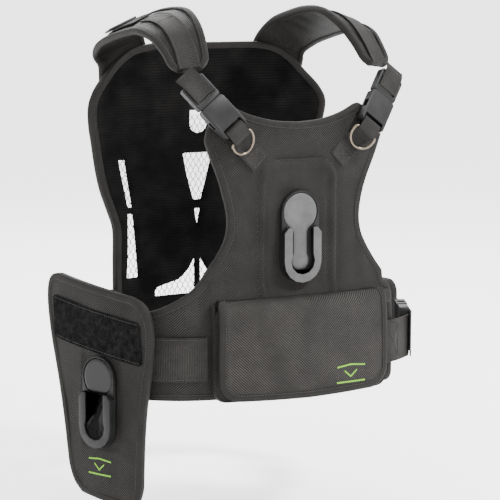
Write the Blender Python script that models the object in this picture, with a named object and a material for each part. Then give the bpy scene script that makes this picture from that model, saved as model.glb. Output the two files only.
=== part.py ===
"""Camera carrying vest with a side holster, as an assembly of sewn panels, webbing, buckles and moulded sockets.

Lengths in this file are millimetres and become metres where a mesh is placed. The wearer faces -Y, +X is the
wearer's left and +Z is up. The origin is the middle of the waist opening, level with the belt webbing's centre.

Cloth pieces are cut flat, given their thickness, and then bent over the body form. A flat point is (s, z, lift):
s runs round the waist from the front centre to the wearer's left, z is the height and lift the distance out from
the body. The form is straight between its grid lines, so layers with different lifts never cut each other.
"""
import math

import bmesh
import bpy
import numpy as np
from mathutils import Matrix, Vector

MM = 0.001
GAP = 0.3

# Waist outline: a shallow arc front and back, and a rounder one at each side, as (radius, sweep) of a quarter.
FRONT_ARC = (520.0, math.radians(12))
SIDE_ARC = (115.0, math.radians(78))
QUARTER = FRONT_ARC[0] * FRONT_ARC[1] + SIDE_ARC[0] * SIDE_ARC[1]
ROUND = 4 * QUARTER
BACK = 2 * QUARTER
SIDE_CENTRE = (FRONT_ARC[0] - SIDE_ARC[0]) * math.sin(FRONT_ARC[1])
HALF_DEPTH = FRONT_ARC[0] - (FRONT_ARC[0] - SIDE_ARC[0]) * math.cos(FRONT_ARC[1])
COLUMN = ROUND / 42

# How deep the form is at each height, as a share of its depth at the waist.
HEIGHTS = (-60.0, 35.0, 60.0, 84.0, 186.0, 215.0, 250.0, 280.0, 315.0, 350.0)
FRONT_SHARE = (1.0, 1.0, 0.98, 0.905, 0.905, 0.93, 0.95, 0.94, 0.92, 0.90)
BACK_SHARE = (1.0, 1.0, 1.0, 1.0, 1.0, 0.985, 0.96, 0.935, 0.90, 0.86)

# Lifts of the layers, from the body outwards.
FOAM = (1.2, 8.0)
SHELL = (8.3, 10.0)
BELT = (12.6, 14.4)
BELT_LEVEL = 5.0
BELT_WIDTH = 50.0
WEB_25 = 25.0
TAPE = 8.0

COLOURS = {
    "nylon": ((0.045, 0.042, 0.040), 0.62, 0.0),
    "binding": ((0.035, 0.033, 0.031), 0.70, 0.0),
    "air_mesh": ((0.008, 0.008, 0.009), 0.85, 0.0),
    "open_mesh": ((0.05, 0.05, 0.055), 0.80, 0.0),
    "foam": ((0.10, 0.10, 0.10), 0.90, 0.0),
    "webbing": ((0.040, 0.037, 0.034), 0.60, 0.0),
    "fastener_tape": ((0.010, 0.010, 0.010), 0.95, 0.0),
    "acetal": ((0.030, 0.030, 0.030), 0.38, 0.0),
    "polycarbonate": ((0.055, 0.056, 0.058), 0.45, 0.0),
    "ring_metal": ((0.42, 0.33, 0.22), 0.28, 1.0),
    "steel": ((0.45, 0.45, 0.46), 0.35, 1.0),
}


def clear_scene():
    for obj in list(bpy.data.objects):
        bpy.data.objects.remove(obj)


def collection(name):
    made = bpy.data.collections.new(name)
    bpy.context.scene.collection.children.link(made)
    return made


def material(name):
    found = bpy.data.materials.get(name)
    if found:
        return found
    colour, roughness, metallic = COLOURS[name]
    made = bpy.data.materials.new(name)
    made.use_nodes = True
    shader = made.node_tree.nodes["Principled BSDF"]
    shader.inputs["Base Color"].default_value = (*colour, 1)
    shader.inputs["Roughness"].default_value = roughness
    shader.inputs["Metallic"].default_value = metallic
    return made


clear_scene()
VEST = collection("camera_vest")
CUTTERS = collection("cutters")


def empty(name, at, parent=None):
    """A joint's empty, standing at a point given in millimetres."""
    made = bpy.data.objects.new(name, None)
    VEST.objects.link(made)
    made.location = Vector(at) * MM
    if parent:
        made.parent = parent
        made.location = Vector(at) * MM - parent.matrix_world.translation
    bpy.context.view_layer.update()
    return made


def finish(name, bm, paint, parent=None, smooth=True, helper=False):
    """Turns a bmesh in millimetres, in the vest's frame, into a named object that moves with its parent."""
    bmesh.ops.recalc_face_normals(bm, faces=bm.faces[:])
    if bm.calc_volume(signed=True) < 0:
        bmesh.ops.reverse_faces(bm, faces=bm.faces[:])
    mesh = bpy.data.meshes.new(name)
    bmesh.ops.scale(bm, vec=(MM, MM, MM), verts=bm.verts[:])
    origin = parent.matrix_world.translation if parent else Vector()
    bmesh.ops.translate(bm, vec=-origin, verts=bm.verts[:])
    bm.to_mesh(mesh)
    bm.free()
    made = bpy.data.objects.new(name, mesh)
    (CUTTERS if helper else VEST).objects.link(made)
    made.parent = parent
    mesh.materials.append(material(paint))
    if smooth:
        mesh.shade_smooth()
        mesh.set_sharp_from_angle(angle=math.radians(35))
    if helper:
        made.hide_render = True
        made.display_type = "WIRE"
    bpy.context.view_layer.update()
    return made


# ---------------------------------------------------------------- the body form


def section(s):
    """Point (x, y) and outward direction of the waist outline, s mm round from the front centre."""
    s = (s + BACK) % ROUND - BACK
    side = 1 if s >= 0 else -1
    behind = abs(s) > QUARTER
    left = BACK - abs(s) if behind else abs(s)
    shallow = FRONT_ARC[0] * FRONT_ARC[1]
    if left <= shallow:
        turn = left / FRONT_ARC[0]
        x = FRONT_ARC[0] * math.sin(turn)
        y = FRONT_ARC[0] * math.cos(turn) - FRONT_ARC[0] + HALF_DEPTH
    else:
        turn = FRONT_ARC[1] + (left - shallow) / SIDE_ARC[0]
        x = SIDE_CENTRE + SIDE_ARC[0] * math.sin(turn)
        y = SIDE_ARC[0] * math.cos(turn)
    flip = 1 if behind else -1
    return side * x, flip * y, side * math.sin(turn), flip * math.cos(turn)


def form(s, z, lift):
    """The exact body form at a height, with a lift."""
    x, y, nx, ny = section(s)
    share = np.interp(z, HEIGHTS, FRONT_SHARE if y < 0 else BACK_SHARE)
    outward = Vector((nx, ny / share)).normalized()
    return Vector((x + outward.x * lift, y * share + outward.y * lift, z))


def on_body(s, z, lift):
    """The form, straight between its grid columns, which is what every cloth layer is bent over."""
    column = math.floor(s / COLUMN + 1e-9)
    share = s / COLUMN - column
    low = form(column * COLUMN, z, lift)
    high = form((column + 1) * COLUMN, z, lift)
    return low.lerp(high, share)


def columns_between(low, high):
    first = math.ceil(low / COLUMN + 1e-6)
    return [n * COLUMN for n in range(first, math.floor(high / COLUMN - 1e-6) + 1)]


# ---------------------------------------------------------------- outlines


def smooth_line(points, step):
    """A Catmull-Rom curve through points, sampled about every step mm."""
    points = [Vector(p) for p in points]
    padded = [2 * points[0] - points[1], *points, 2 * points[-1] - points[-2]]
    line = []
    for a, b, c, d in zip(padded, padded[1:], padded[2:], padded[3:]):
        count = max(1, round((c - b).length / step))
        for n in range(count):
            t = n / count
            line.append(
                0.5 * (2 * b + (c - a) * t + (2 * a - 5 * b + 4 * c - d) * t**2 + (3 * b - a - 3 * c + d) * t**3)
            )
    return [tuple(p) for p in line] + [tuple(points[-1])]


def mirrored(half):
    """A closed outline from its half at positive s, listed from the centre line back to the centre line."""
    return list(half) + [(-s, z) for s, z in reversed(half) if s > 0]


def rounded_box(low_s, high_s, low_z, high_z, radius, turns=3):
    """A rectangle whose four corners are arcs."""
    outline = []
    corners = ((high_s, high_z, 0), (low_s, high_z, 90), (low_s, low_z, 180), (high_s, low_z, 270))
    for s, z, start in corners:
        inward_s = -radius if s == high_s else radius
        inward_z = -radius if z == high_z else radius
        for n in range(turns + 1):
            angle = math.radians(start + 90 * n / turns)
            outline.append((s + inward_s + radius * math.cos(angle), z + inward_z + radius * math.sin(angle)))
    return outline


def circle(radius, turns=12):
    return [(radius * math.cos(a), radius * math.sin(a)) for a in np.linspace(0, 2 * math.pi, turns, endpoint=False)]


def grown(outline, by):
    """The outline moved outwards by a distance, or inwards where it is negative."""
    count = len(outline)
    area = sum(a[0] * b[1] - b[0] * a[1] for a, b in zip(outline, outline[1:] + outline[:1]))
    turn = 1 if area > 0 else -1
    moved = []
    for n in range(count):
        before, here, after = (Vector(outline[(n + k) % count]) for k in (-1, 0, 1))
        one = (here - before).normalized()
        two = (after - here).normalized()
        normal_one = Vector((one.y, -one.x)) * turn
        normal_two = Vector((two.y, -two.x)) * turn
        half = (normal_one + normal_two).normalized()
        moved.append(tuple(here + half * by / max(0.5, half.dot(normal_one))))
    return moved


def shifted(outline, s=0.0, z=0.0):
    return [(a + s, b + z) for a, b in outline]


# ---------------------------------------------------------------- cutting and bending


def cut(outline, low, high, holes=(), s_lines=(), z_lines=()):
    """A flat piece between two lifts, split along the lines where it will bend."""
    bm = bmesh.new()
    edges = []
    for loop in (outline, *holes):
        verts = [bm.verts.new((s, z, low)) for s, z in loop]
        edges += [bm.edges.new((a, b)) for a, b in zip(verts, verts[1:] + verts[:1])]
    bmesh.ops.triangle_fill(bm, edges=edges, use_beauty=True, use_dissolve=False, normal=(0, 0, -1))
    for axis, lines in ((0, s_lines), (1, z_lines)):
        normal = Vector((axis == 0, axis == 1, 0))
        for place in lines:
            bmesh.ops.bisect_plane(
                bm,
                geom=bm.verts[:] + bm.edges[:] + bm.faces[:],
                dist=1e-4,
                plane_co=normal * place,
                plane_no=normal,
            )
    kept = set(round(v, 3) for v in s_lines), set(round(v, 3) for v in z_lines)
    loose = [
        e
        for e in bm.edges
        if len(e.link_faces) == 2
        and not any(
            round(e.verts[0].co[k], 3) == round(e.verts[1].co[k], 3) and round(e.verts[0].co[k], 3) in kept[k]
            for k in (0, 1)
        )
    ]
    bmesh.ops.dissolve_edges(bm, edges=loose, use_verts=False)
    grown_part = bmesh.ops.extrude_face_region(bm, geom=bm.faces[:])["geom"]
    top = [v for v in grown_part if isinstance(v, bmesh.types.BMVert)]
    bmesh.ops.translate(bm, vec=(0, 0, high - low), verts=top)
    return bm


def bend(bm, place):
    """Moves every point of a flat piece to where place(s, z, lift) says."""
    for vert in bm.verts:
        vert.co = place(*vert.co)
    return bm


def sewn(name, outline, lifts, paint, holes=(), parent=None):
    """A cloth layer on the body."""
    values = [s for s, _ in outline]
    heights = [z for _, z in outline]
    z_lines = [z for z in HEIGHTS if min(heights) < z < max(heights)]
    bm = cut(outline, *lifts, holes, columns_between(min(values), max(values)), z_lines)
    return finish(name, bend(bm, on_body), paint, parent)


def slab(name, outline, lifts, paint, place, holes=(), parent=None, helper=False):
    """A flat plate or panel, placed by a matrix whose X, Y and Z are the outline's two axes and the lift."""
    bm = cut(outline, *lifts, holes)
    bm.transform(place)
    return finish(name, bm, paint, parent, helper=helper)


def join(base, others, operation="UNION"):
    """Joins helpers to base, or cuts them from it, and keeps them as cutters."""
    for other in others:
        modifier = base.modifiers.new(other.name, "BOOLEAN")
        modifier.object = other
        modifier.operation = operation
        modifier.solver = "EXACT"
    return base


def axes(origin, x, y, z):
    """The matrix with these three directions and this origin."""
    made = Matrix.Identity(4)
    for n, direction in enumerate((x, y, z)):
        made.col[n][:3] = direction
    made.col[3][:3] = origin
    return made


def ribbon(name, rows, width, lifts, paint, parent=None, inner=None):
    """A strap swept along rows of (point, outward, ahead); width is a number or a function of the row's share."""
    bm = bmesh.new()
    count = len(rows)
    rings = []
    for n, (point, outward, ahead) in enumerate(rows):
        across = ahead.cross(outward).normalized()
        outward = across.cross(ahead).normalized()
        half = (width(n / (count - 1)) if callable(width) else width) / 2
        places = [-half, half] if inner is None else [-half, -inner / 2, inner / 2, half]
        low = [bm.verts.new(point + across * p + outward * lifts[0]) for p in places]
        high = [bm.verts.new(point + across * p + outward * lifts[1]) for p in places]
        rings.append(low + high[::-1])
    for one, two in zip(rings, rings[1:]):
        for k in range(len(one)):
            after = (k + 1) % len(one)
            bm.faces.new((one[k], one[after], two[after]))
            bm.faces.new((one[k], two[after], two[k]))
    bm.faces.new(rings[0])
    bm.faces.new(rings[-1][::-1])
    return finish(name, bm, paint, parent)


def box(name, low, high, place, paint="acetal", parent=None):
    """A box helper between two corners, in the axes of place."""
    outline = [(low[0], low[1]), (high[0], low[1]), (high[0], high[1]), (low[0], high[1])]
    return slab(name, outline, (low[2], high[2]), paint, place, parent=parent, helper=True)


def with_heading(rows):
    """Adds to rows of (point, outward) the direction in which the strap runs there."""
    last = len(rows) - 1
    return [(p, n, (rows[min(k + 1, last)][0] - rows[max(k - 1, 0)][0]).normalized()) for k, (p, n) in enumerate(rows)]


def beside(line, by):
    """An open line moved sideways, to its left where by is positive."""
    line = [Vector(p) for p in line]
    moved = []
    for n, here in enumerate(line):
        before = here - line[n - 1] if n else line[1] - here
        after = line[n + 1] - here if n + 1 < len(line) else before
        left_one = Vector((-before.y, before.x)).normalized()
        left_two = Vector((-after.y, after.x)).normalized()
        half = (left_one + left_two).normalized()
        moved.append(tuple(here + half * by / max(0.5, half.dot(left_one))))
    return moved


# ---------------------------------------------------------------- front panel and wings

WING_END = -(BACK - 118.3)
BUCKLE_GAP = (128.0, 262.0)
WING_LOW = -42.0
WING_TOP = 50.0

NECKLINE = ((0, 264), (30, 266.5), (58, 273.5), (80, 283))
SHOULDER = ((80, 283), (97, 273), (108, 261), (112, 246))
FLANK = ((112, 246), (105, 227), (92, 195), (84, 163), (85, 140), (93, 122), (106, 103), (120, 84), (139, 71), (163, 60))


def wing_end_turns(s, z_low, z_high, radius):
    """The rounded free end of a wing, from its top to its bottom."""
    turns = []
    for centre_z, start in ((z_high - radius, 90), (z_low + radius, 0)):
        for n in range(4):
            angle = math.radians(start - 30 * n)
            turns.append((s - radius + radius * math.cos(angle), centre_z + radius * math.sin(angle)))
    return turns


def front_edge():
    """The bound edge, from the right seam with the back, over the neck, round the free end and back along the foot."""
    top = smooth_line(NECKLINE, 14)[:-1] + smooth_line(SHOULDER, 12)[:-1]
    long_side = [(-s, z) for s, z in reversed(top[1:] + smooth_line(FLANK, 15))]
    short_side = top + smooth_line(FLANK[:7] + ((119, 87),), 15)
    free_end = wing_end_turns(BUCKLE_GAP[0], WING_LOW, 76, 10)
    start = [(WING_END, WING_TOP), (-215, WING_TOP), (-190, 52)]
    return start + long_side + short_side + free_end + [(WING_END, WING_LOW)]


def front_panel():
    edge = front_edge()
    inset = beside(edge, -TAPE)
    tape = edge + inset[::-1]
    body = beside(edge, -TAPE - GAP)
    body[0] = (WING_END, body[0][1])
    body[-1] = (WING_END, body[-1][1])
    holes = [shifted(circle(2.0), 0, z) for z in SCREW_LEVELS]
    core = rounded_box(-33, 33, 88, 182, 10)
    sewn("front_shell", body, SHELL, "nylon", holes)
    sewn("front_foam", body, FOAM, "foam", [core])
    sewn("front_binding", tape, (0.8, 10.8), "binding")
    facing = smooth_line(((-50, 70.5), (-50, 120), (-50, 195)), 60)
    facing += [(-50 + 20 * (1 - math.cos(a)), 203 + 20 * math.sin(a)) for a in np.radians((0, 30, 60, 90))]
    facing = [(s, z) for s, z in facing] + [(-s, z) for s, z in reversed(facing)]
    sewn("chest_facing", facing, (10.3, 11.7), "nylon", holes)


def left_wing():
    end = wing_end_turns(-BUCKLE_GAP[1], WING_LOW, 54, 16)
    edge = [(-WING_END, WING_LOW)] + [(-s, z) for s, z in end[::-1]] + [(-WING_END, WING_TOP)]
    body = beside(edge, -TAPE - GAP)
    body[0] = (-WING_END, body[0][1])
    body[-1] = (-WING_END, body[-1][1])
    sewn("left_wing_shell", body, SHELL, "nylon")
    sewn("left_wing_foam", body, FOAM, "foam")
    sewn("left_wing_binding", edge + beside(edge, -TAPE)[::-1], (0.8, 10.8), "binding")


# ---------------------------------------------------------------- back panel

BACK_EDGE = ((0, 345), (70, 345), (96, 340), (118, 327), (137, 308), (154, 290), (163, 272), (161, 250), (155, 230),
             (147, 200), (138, 172), (126, 145), (118, 122), (118, 84), (118, 31))


def window(points):
    return [(BACK + s, z) for s, z in points]


def back_panel():
    half = smooth_line(BACK_EDGE[1:13], 16) + [(118, 31), (118, WING_LOW)]
    outline = [(BACK - s, z) for s, z in reversed(half)] + [(BACK + s, z) for s, z in half]
    body = grown(outline, -TAPE - GAP)
    top = [(-12, 290), (-12, 246)] + [(12 * math.sin(a), 246 - 12 * math.cos(a)) for a in np.radians((-60, 0, 60))]
    holes = [window(top + [(12, 246), (12, 290)])]
    holes.append(window([(-20, 210), (-5, 152), (5, 152), (20, 210)]))
    for side in (-1, 1):
        strip = [(103, 206), (92, 148), (98, 148), (112, 206)]
        lower = [(91, 140), (86, 62), (96, 62), (98, 140)]
        lobe = [(5, 36), (60, 36), (56, 48), (30, 52), (5, 76)]
        for points in (strip, lower, lobe):
            holes.append(window([(side * s, z) for s, z in points]))
    sewn("back_pad", body, FOAM, "air_mesh", holes)
    yoke_top = [(s, z) for s, z in body if z > 262]
    sewn("back_yoke", yoke_top, (8.3, 9.5), "nylon")
    mesh = [(s, z) for s, z in body if z < 256]
    sewn("back_mesh", mesh, (8.3, 9.1), "open_mesh")
    ring = grown(outline, -TAPE)
    sewn("back_binding", outline, (0.8, 9.6), "binding", [ring])
    band = [(BACK - 109, WING_LOW + 9), (BACK + 109, WING_LOW + 9), (BACK + 109, 32), (BACK - 109, 32)]
    sewn("back_band", band, (9.4, 11.0), "nylon")


# ---------------------------------------------------------------- belt


def belt_strip(name, low_s, high_s, lifts, paint="webbing", parent=None):
    low, high = BELT_LEVEL - BELT_WIDTH / 2, BELT_LEVEL + BELT_WIDTH / 2
    return sewn(name, [(low_s, low), (high_s, low), (high_s, high), (low_s, high)], lifts, paint, parent=parent)


# ---------------------------------------------------------------- twist-lock receivers

RAIL_HEIGHT = 11.0
RECEIVER = (104.3, 24.0)
SCREW_LEVELS = (110.0, 162.0)
CHEST_RECEIVER_LEVEL = 136.0


def stadium(half_height, radius, turns=8):
    """A slot outline of full height 2 * half_height, from the right side's foot, anticlockwise."""
    outline = []
    for centre, start in ((half_height - radius, 0), (radius - half_height, 180)):
        for n in range(turns + 1):
            angle = math.radians(start + 180 * n / turns)
            outline.append((radius * math.cos(angle), centre + radius * math.sin(angle)))
    return outline


def rail(radius, inner_radius, neck, top, lobe_level):
    """A U-shaped rail round the foot of the receiver, whose opening is a neck ending in a lobe."""
    foot = RECEIVER[1] - RECEIVER[0] / 2
    outline = [(-radius, top - 6)]
    for n in range(9):
        angle = math.radians(180 + 180 * n / 8)
        outline.append((radius * math.cos(angle), foot + radius * math.sin(angle)))
    outline += [(radius, top - 6), (radius - 5, top), (neck, top)]
    meet = math.acos(min(1.0, neck / inner_radius))
    for n in range(9):
        angle = meet - (math.pi + 2 * meet) * n / 8
        outline.append((inner_radius * math.cos(angle), lobe_level + inner_radius * math.sin(angle)))
    outline += [(-neck, top), (5 - radius, top)]
    return outline


def receiver(name, place, screw_levels, parent=None):
    """The moulded keyhole: a floor, an undercut wall, and a lip that holds the camera's mushroom stud."""
    half = RECEIVER[0] / 2
    holes = [shifted(circle(1.8), 0, z) for z in screw_levels]
    base = slab(name, stadium(half, RECEIVER[1]), (0, 2.4), "polycarbonate", place, holes, parent)
    floor = slab(name + "_floor", stadium(half - 0.15, RECEIVER[1] - 0.15), (2.25, 3.04), "polycarbonate", place, helper=True)
    wall = slab(name + "_wall", rail(RECEIVER[1] - 0.23, 18.3, 17.6, 11.3, -27.7), (1.83, 9.1), "polycarbonate", place,
                helper=True)
    lip = slab(name + "_lip", rail(RECEIVER[1] - 0.31, 15.4, 13.5, 10.6, -27.2), (7.9, RAIL_HEIGHT), "polycarbonate", place,
               helper=True)
    rim = slab(name + "_rim", stadium(half - 0.3, RECEIVER[1] - 0.3), (2.5, 4.5), "polycarbonate", place,
               [shifted(circle(22.4, 20), 0, half - RECEIVER[1])], helper=True)
    below = box(name + "_clear", (-30, -60, 2), (30, 8, 6), place)
    join(rim, [below], "DIFFERENCE")
    for helper in (floor, wall, lip, rim, below):
        helper.parent = base
        helper.matrix_parent_inverse = base.matrix_world.inverted()
    return join(base, [floor, wall, lip, rim])


def screw(name, place, level, head, parent=None):
    """A pan-head screw put in from behind: its head is at a lift of head, and its shank ends inside the floor."""
    bm = bmesh.new()
    bmesh.ops.create_cone(bm, cap_ends=True, segments=16, radius1=2.8, radius2=3.2, depth=1.4,
                          matrix=Matrix.Translation((0, 0, head - 0.7)))
    face = max(bm.faces, key=lambda f: f.calc_center_median().z)
    bmesh.ops.inset_region(bm, faces=[face], thickness=1.75)
    moved = bmesh.ops.extrude_face_region(bm, geom=[face])["geom"]
    bmesh.ops.delete(bm, geom=[face], context="FACES")
    bmesh.ops.translate(bm, vec=(0, 0, 2.0 - head), verts=[v for v in moved if isinstance(v, bmesh.types.BMVert)])
    bm.transform(place @ Matrix.Translation((0, level, 0)))
    return finish(name, bm, "steel", parent)


# ---------------------------------------------------------------- side-release buckles


def buckle_axes(origin, along, facing):
    """Axes of a buckle: X across it, Y along it from its bar to its webbing, Z outwards from its middle."""
    along = along.normalized()
    facing = (facing - along * facing.dot(along)).normalized()
    return axes(origin, along.cross(facing), along, facing)


class Buckle:
    """One size of side-release buckle, from the webbing it is made for."""

    def __init__(self, webbing, thick, socket_long, plug_long):
        self.slot = webbing / 2 + 0.8
        self.half = webbing / 2 + 4.0
        self.thick = thick
        self.socket_long = socket_long
        self.plug_long = plug_long
        self.throat = self.half - 3.6
        self.bar = 4.4

    def socket(self, name, place, parent=None):
        half, long, deep = self.half, self.socket_long, self.thick / 2
        outline = rounded_box(-half, half, 0, long, 4)
        slot = rounded_box(-self.slot, self.slot, self.bar, self.bar + 5.2, 0.8, 1)
        body = slab(name, outline, (-deep, deep), "acetal", place, [slot], parent)
        start = self.bar + 8.4
        hollow = box(name + "_hollow", (-self.throat, start, -deep + 2.2), (self.throat, long + 2, deep - 2.2), place)
        gates = box(name + "_gates", (-half - 2, start + 4, -deep + 1.8), (half + 2, start + 14, deep - 1.8), place)
        thin = [box(name + tag, (-self.slot, -2, low), (self.slot, self.bar + 1, high), place)
                for tag, low, high in (("_front", deep - 2.6, deep + 2), ("_rear", -deep - 2, 2.6 - deep))]
        for helper in (hollow, gates, *thin):
            helper.parent = body
            helper.matrix_parent_inverse = body.matrix_world.inverted()
        return join(body, [hollow, gates, *thin], "DIFFERENCE")

    def plug(self, name, place, parent):
        start = self.bar + 10.0
        mouth = self.socket_long + GAP
        reach = self.throat - 0.5
        end = mouth + self.plug_long
        deep = self.thick / 2
        arms = [(-reach, mouth + 5), (-reach, start + 9), (-reach + 1.2, start + 2), (-reach + 3.2, start)]
        arms += [(-reach + 4.6, start + 3), (-reach + 4.4, mouth - 3), (-1.8, mouth - 3), (-1.8, start + 6)]
        outline = arms + [(-s, v) for s, v in reversed(arms)]
        tongue = slab(name + "_arms", outline, (-deep + 2.7, deep - 2.7), "acetal", place, helper=True)
        slots = [rounded_box(-self.slot, self.slot, low, low + 4.6, 0.8, 1) for low in (mouth + 7, end - 8)]
        body = slab(name, rounded_box(-self.half + 0.6, self.half - 0.6, mouth, end, 3), (-deep + 0.8, deep - 0.8),
                    "acetal", place, slots, parent)
        tongue.parent = body
        tongue.matrix_parent_inverse = body.matrix_world.inverted()
        return join(body, [tongue])


SHOULDER_BUCKLE = Buckle(WEB_25, 11.0, 42.0, 31.0)
WAIST_BUCKLE = Buckle(BELT_WIDTH, 13.0, 36.0, 26.0)


def mirror_x(point, side):
    return Vector((point[0] * side, point[1], point[2]))


def strap_rows(side):
    """Rows (point, outward) along a strap's outer face, from the back panel over the shoulder to the buckle."""
    rows = []
    for s, z in ((98, 266), (100, 298), (103, 326)):
        point = on_body(BACK - s, z, 17.0)
        rows.append((mirror_x(point, side), mirror_x((section(BACK - s)[2], section(BACK - s)[3], 0.08), side)))
    for point, outward in (
        ((112, 116, 345), (0.20, 0.85, 0.50)),
        ((119, 95, 360), (0.38, 0.55, 0.75)),
        ((121, 62, 369), (0.42, 0.25, 0.88)),
        ((120, 22, 376), (0.40, 0.06, 0.91)),
        ((119, -20, 378), (0.34, -0.12, 0.93)),
        ((119, -54, 367), (0.30, -0.45, 0.84)),
        ((120, -80, 347), (0.30, -0.72, 0.62)),
        ((122, -97, 326), (0.30, -0.84, 0.46)),
    ):
        rows.append((mirror_x(point, side), mirror_x(outward, side)))
    points = smooth_line([p for p, _ in rows], 14)
    directions = smooth_line([n.normalized() * 100 for _, n in rows], 1000)
    shares = np.linspace(0, len(rows) - 1, len(points))
    result = []
    for share, point in zip(shares, points):
        low = min(int(share), len(rows) - 2)
        outward = Vector(directions[low]).lerp(Vector(directions[low + 1]), share - low)
        result.append((Vector(point), outward.normalized()))
    return with_heading(result)


BUCKLE_FOOT = (85.5, -135.0, 257.5)
BUCKLE_HEAD = (119.5, -116.0, 299.5)


def shoulder(side, word):
    rows = strap_rows(side)
    ribbon(f"strap_pad_{word}", rows, lambda t: 70 - 26 * max(0.0, t - 0.72) / 0.28, (-7, 0), "nylon", inner=30)
    count = len(rows)
    ribbon(f"strap_web_{word}", rows[int(count * 0.60):], WEB_25, (0.7, 2.3), "webbing")
    ribbon(f"strap_rear_web_{word}", rows[2:int(count * 0.55)], 30, (1.3, 2.9), "webbing")
    spot = int(count * 0.36)
    point, outward, along = rows[spot]
    place = buckle_axes(point + outward * 3.4, along, outward)
    slab(f"strap_slider_{word}", rounded_box(-19, 19, -10, 10, 3), (0, 2.6), "acetal", place,
         [rounded_box(-15.6, 15.6, low, low + 4, 1, 1) for low in (-7, 3)])

    foot, head = mirror_x(BUCKLE_FOOT, side), mirror_x(BUCKLE_HEAD, side)
    along = head - foot
    place = buckle_axes(foot, along, mirror_x((0.16, -0.95, 0.28), side))
    buckle = SHOULDER_BUCKLE
    buckle.socket(f"shoulder_socket_{word}", place)
    holder = empty(f"shoulder_plug_{word}_slide", foot)
    buckle.plug(f"shoulder_plug_{word}", place, holder)
    mouth = buckle.socket_long + GAP
    facing = place.col[2].to_3d()
    web = [(place @ Vector((0, mouth + v, lift)), facing) for v, lift in ((8, 5.0), (31, 5.0), (36, 3.4), (42, 0.6))]
    ribbon(f"plug_web_{word}", with_heading(web), WEB_25, (0, 1.6), "webbing", parent=holder)
    ring_chain(side, word, place)


# ---------------------------------------------------------------- rings on their webbing tabs

RING_HALF = 14.8
RING_REACH = 20.8
WIRE = 1.6


def ring_line():
    """The middle line of the ring's wire: a straight bar, two tight corners and a half round bow."""
    line = [(RING_HALF - 3 + 3 * math.sin(a), 3 * math.cos(a) - 3) for a in np.radians((0, 30, 60, 90))]
    drop = RING_REACH - RING_HALF
    line += [(RING_HALF * math.cos(a), -drop - RING_HALF * math.sin(a)) for a in np.radians(range(0, 181, 15))]
    return line + [(-x, y) for x, y in line[3::-1]]


def ring_chain(side, word, socket_place):
    """A webbing tab doubled round the socket's bar and sewn to the chest, with a ring hinged in its fold."""
    bar = socket_place @ Vector((0, SHOULDER_BUCKLE.bar / 2, 0))
    pivot = socket_place @ Vector((0, -8.5, -0.5))
    across = socket_place.col[0].to_3d()
    hang = pivot - mirror_x(on_body(64, 236, 18.6), side)
    hang = (hang - across * hang.dot(across)).normalized()
    place = axes(pivot, across, hang, across.cross(hang))
    holder = empty(f"chest_ring_{word}_hinge", pivot)
    bm = bmesh.new()
    line = ring_line()
    rims = []
    for (x0, y0), (x, y), (x1, y1) in zip(line[-1:] + line[:-1], line, line[1:] + line[:1]):
        out = Vector((y1 - y0, x0 - x1, 0)).normalized()
        rims.append([bm.verts.new(Vector((x, y, 0)) + out * WIRE * math.cos(b) + Vector((0, 0, WIRE * math.sin(b))))
                     for b in np.linspace(0, 2 * math.pi, 8, endpoint=False)])
    for one, two in zip(rims, rims[1:] + rims[:1]):
        for k in range(8):
            bm.faces.new((one[k], one[(k + 1) % 8], two[(k + 1) % 8], two[k]))
    bm.transform(place)
    finish(f"chest_ring_{word}", bm, "ring_metal", holder)

    up = (bar - pivot).normalized()
    front = across.cross(up)
    fold = axes(pivot, up, front, -across)
    reach = (bar - pivot).length
    tab = slab(f"ring_tab_{word}", taper(reach, 3.7, 6.0), (-12.2, 12.2), "webbing", fold, [taper(reach, 2.3, 4.5)])
    away = mirror_x((section(60)[2], section(60)[3], 0.0), side)
    foot = [(pivot - front * 3.7 + up * 0.5, front), (mirror_x(on_body(71, 243, 12.5), side), away),
            (mirror_x(on_body(61, 233, 12.5), side), away), (mirror_x(on_body(48, 220, 12.5), side), away)]
    tail = ribbon(f"ring_tab_{word}_tail", with_heading(foot), 24.4, (0, 1.5), "webbing")
    VEST.objects.unlink(tail)
    CUTTERS.objects.link(tail)
    tail.hide_render = True
    tail.display_type = "WIRE"
    tail.parent = tab
    tail.matrix_parent_inverse = tab.matrix_world.inverted()
    join(tab, [tail])


def taper(reach, near, far):
    """Two round ends, near at the origin and far at reach along the first axis, with straight sides."""
    lean = math.degrees(math.asin((far - near) / reach))
    outline = []
    for centre, radius, start, sweep in ((reach, far, -90 - lean, 180 + 2 * lean), (0, near, 90 + lean, 180 - 2 * lean)):
        for n in range(7):
            angle = math.radians(start + sweep * n / 6)
            outline.append((centre + radius * math.cos(angle), radius * math.sin(angle)))
    return outline


# ---------------------------------------------------------------- pocket with its flap

POCKET = (110.0, -43.0, 65.0)
POCKET_LIFTS = (11.2, 22.4)
FLAP_TOP = 69.0
FLAP_AXIS_Y = -134.5
FLAP_INSET = 6.0


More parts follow.
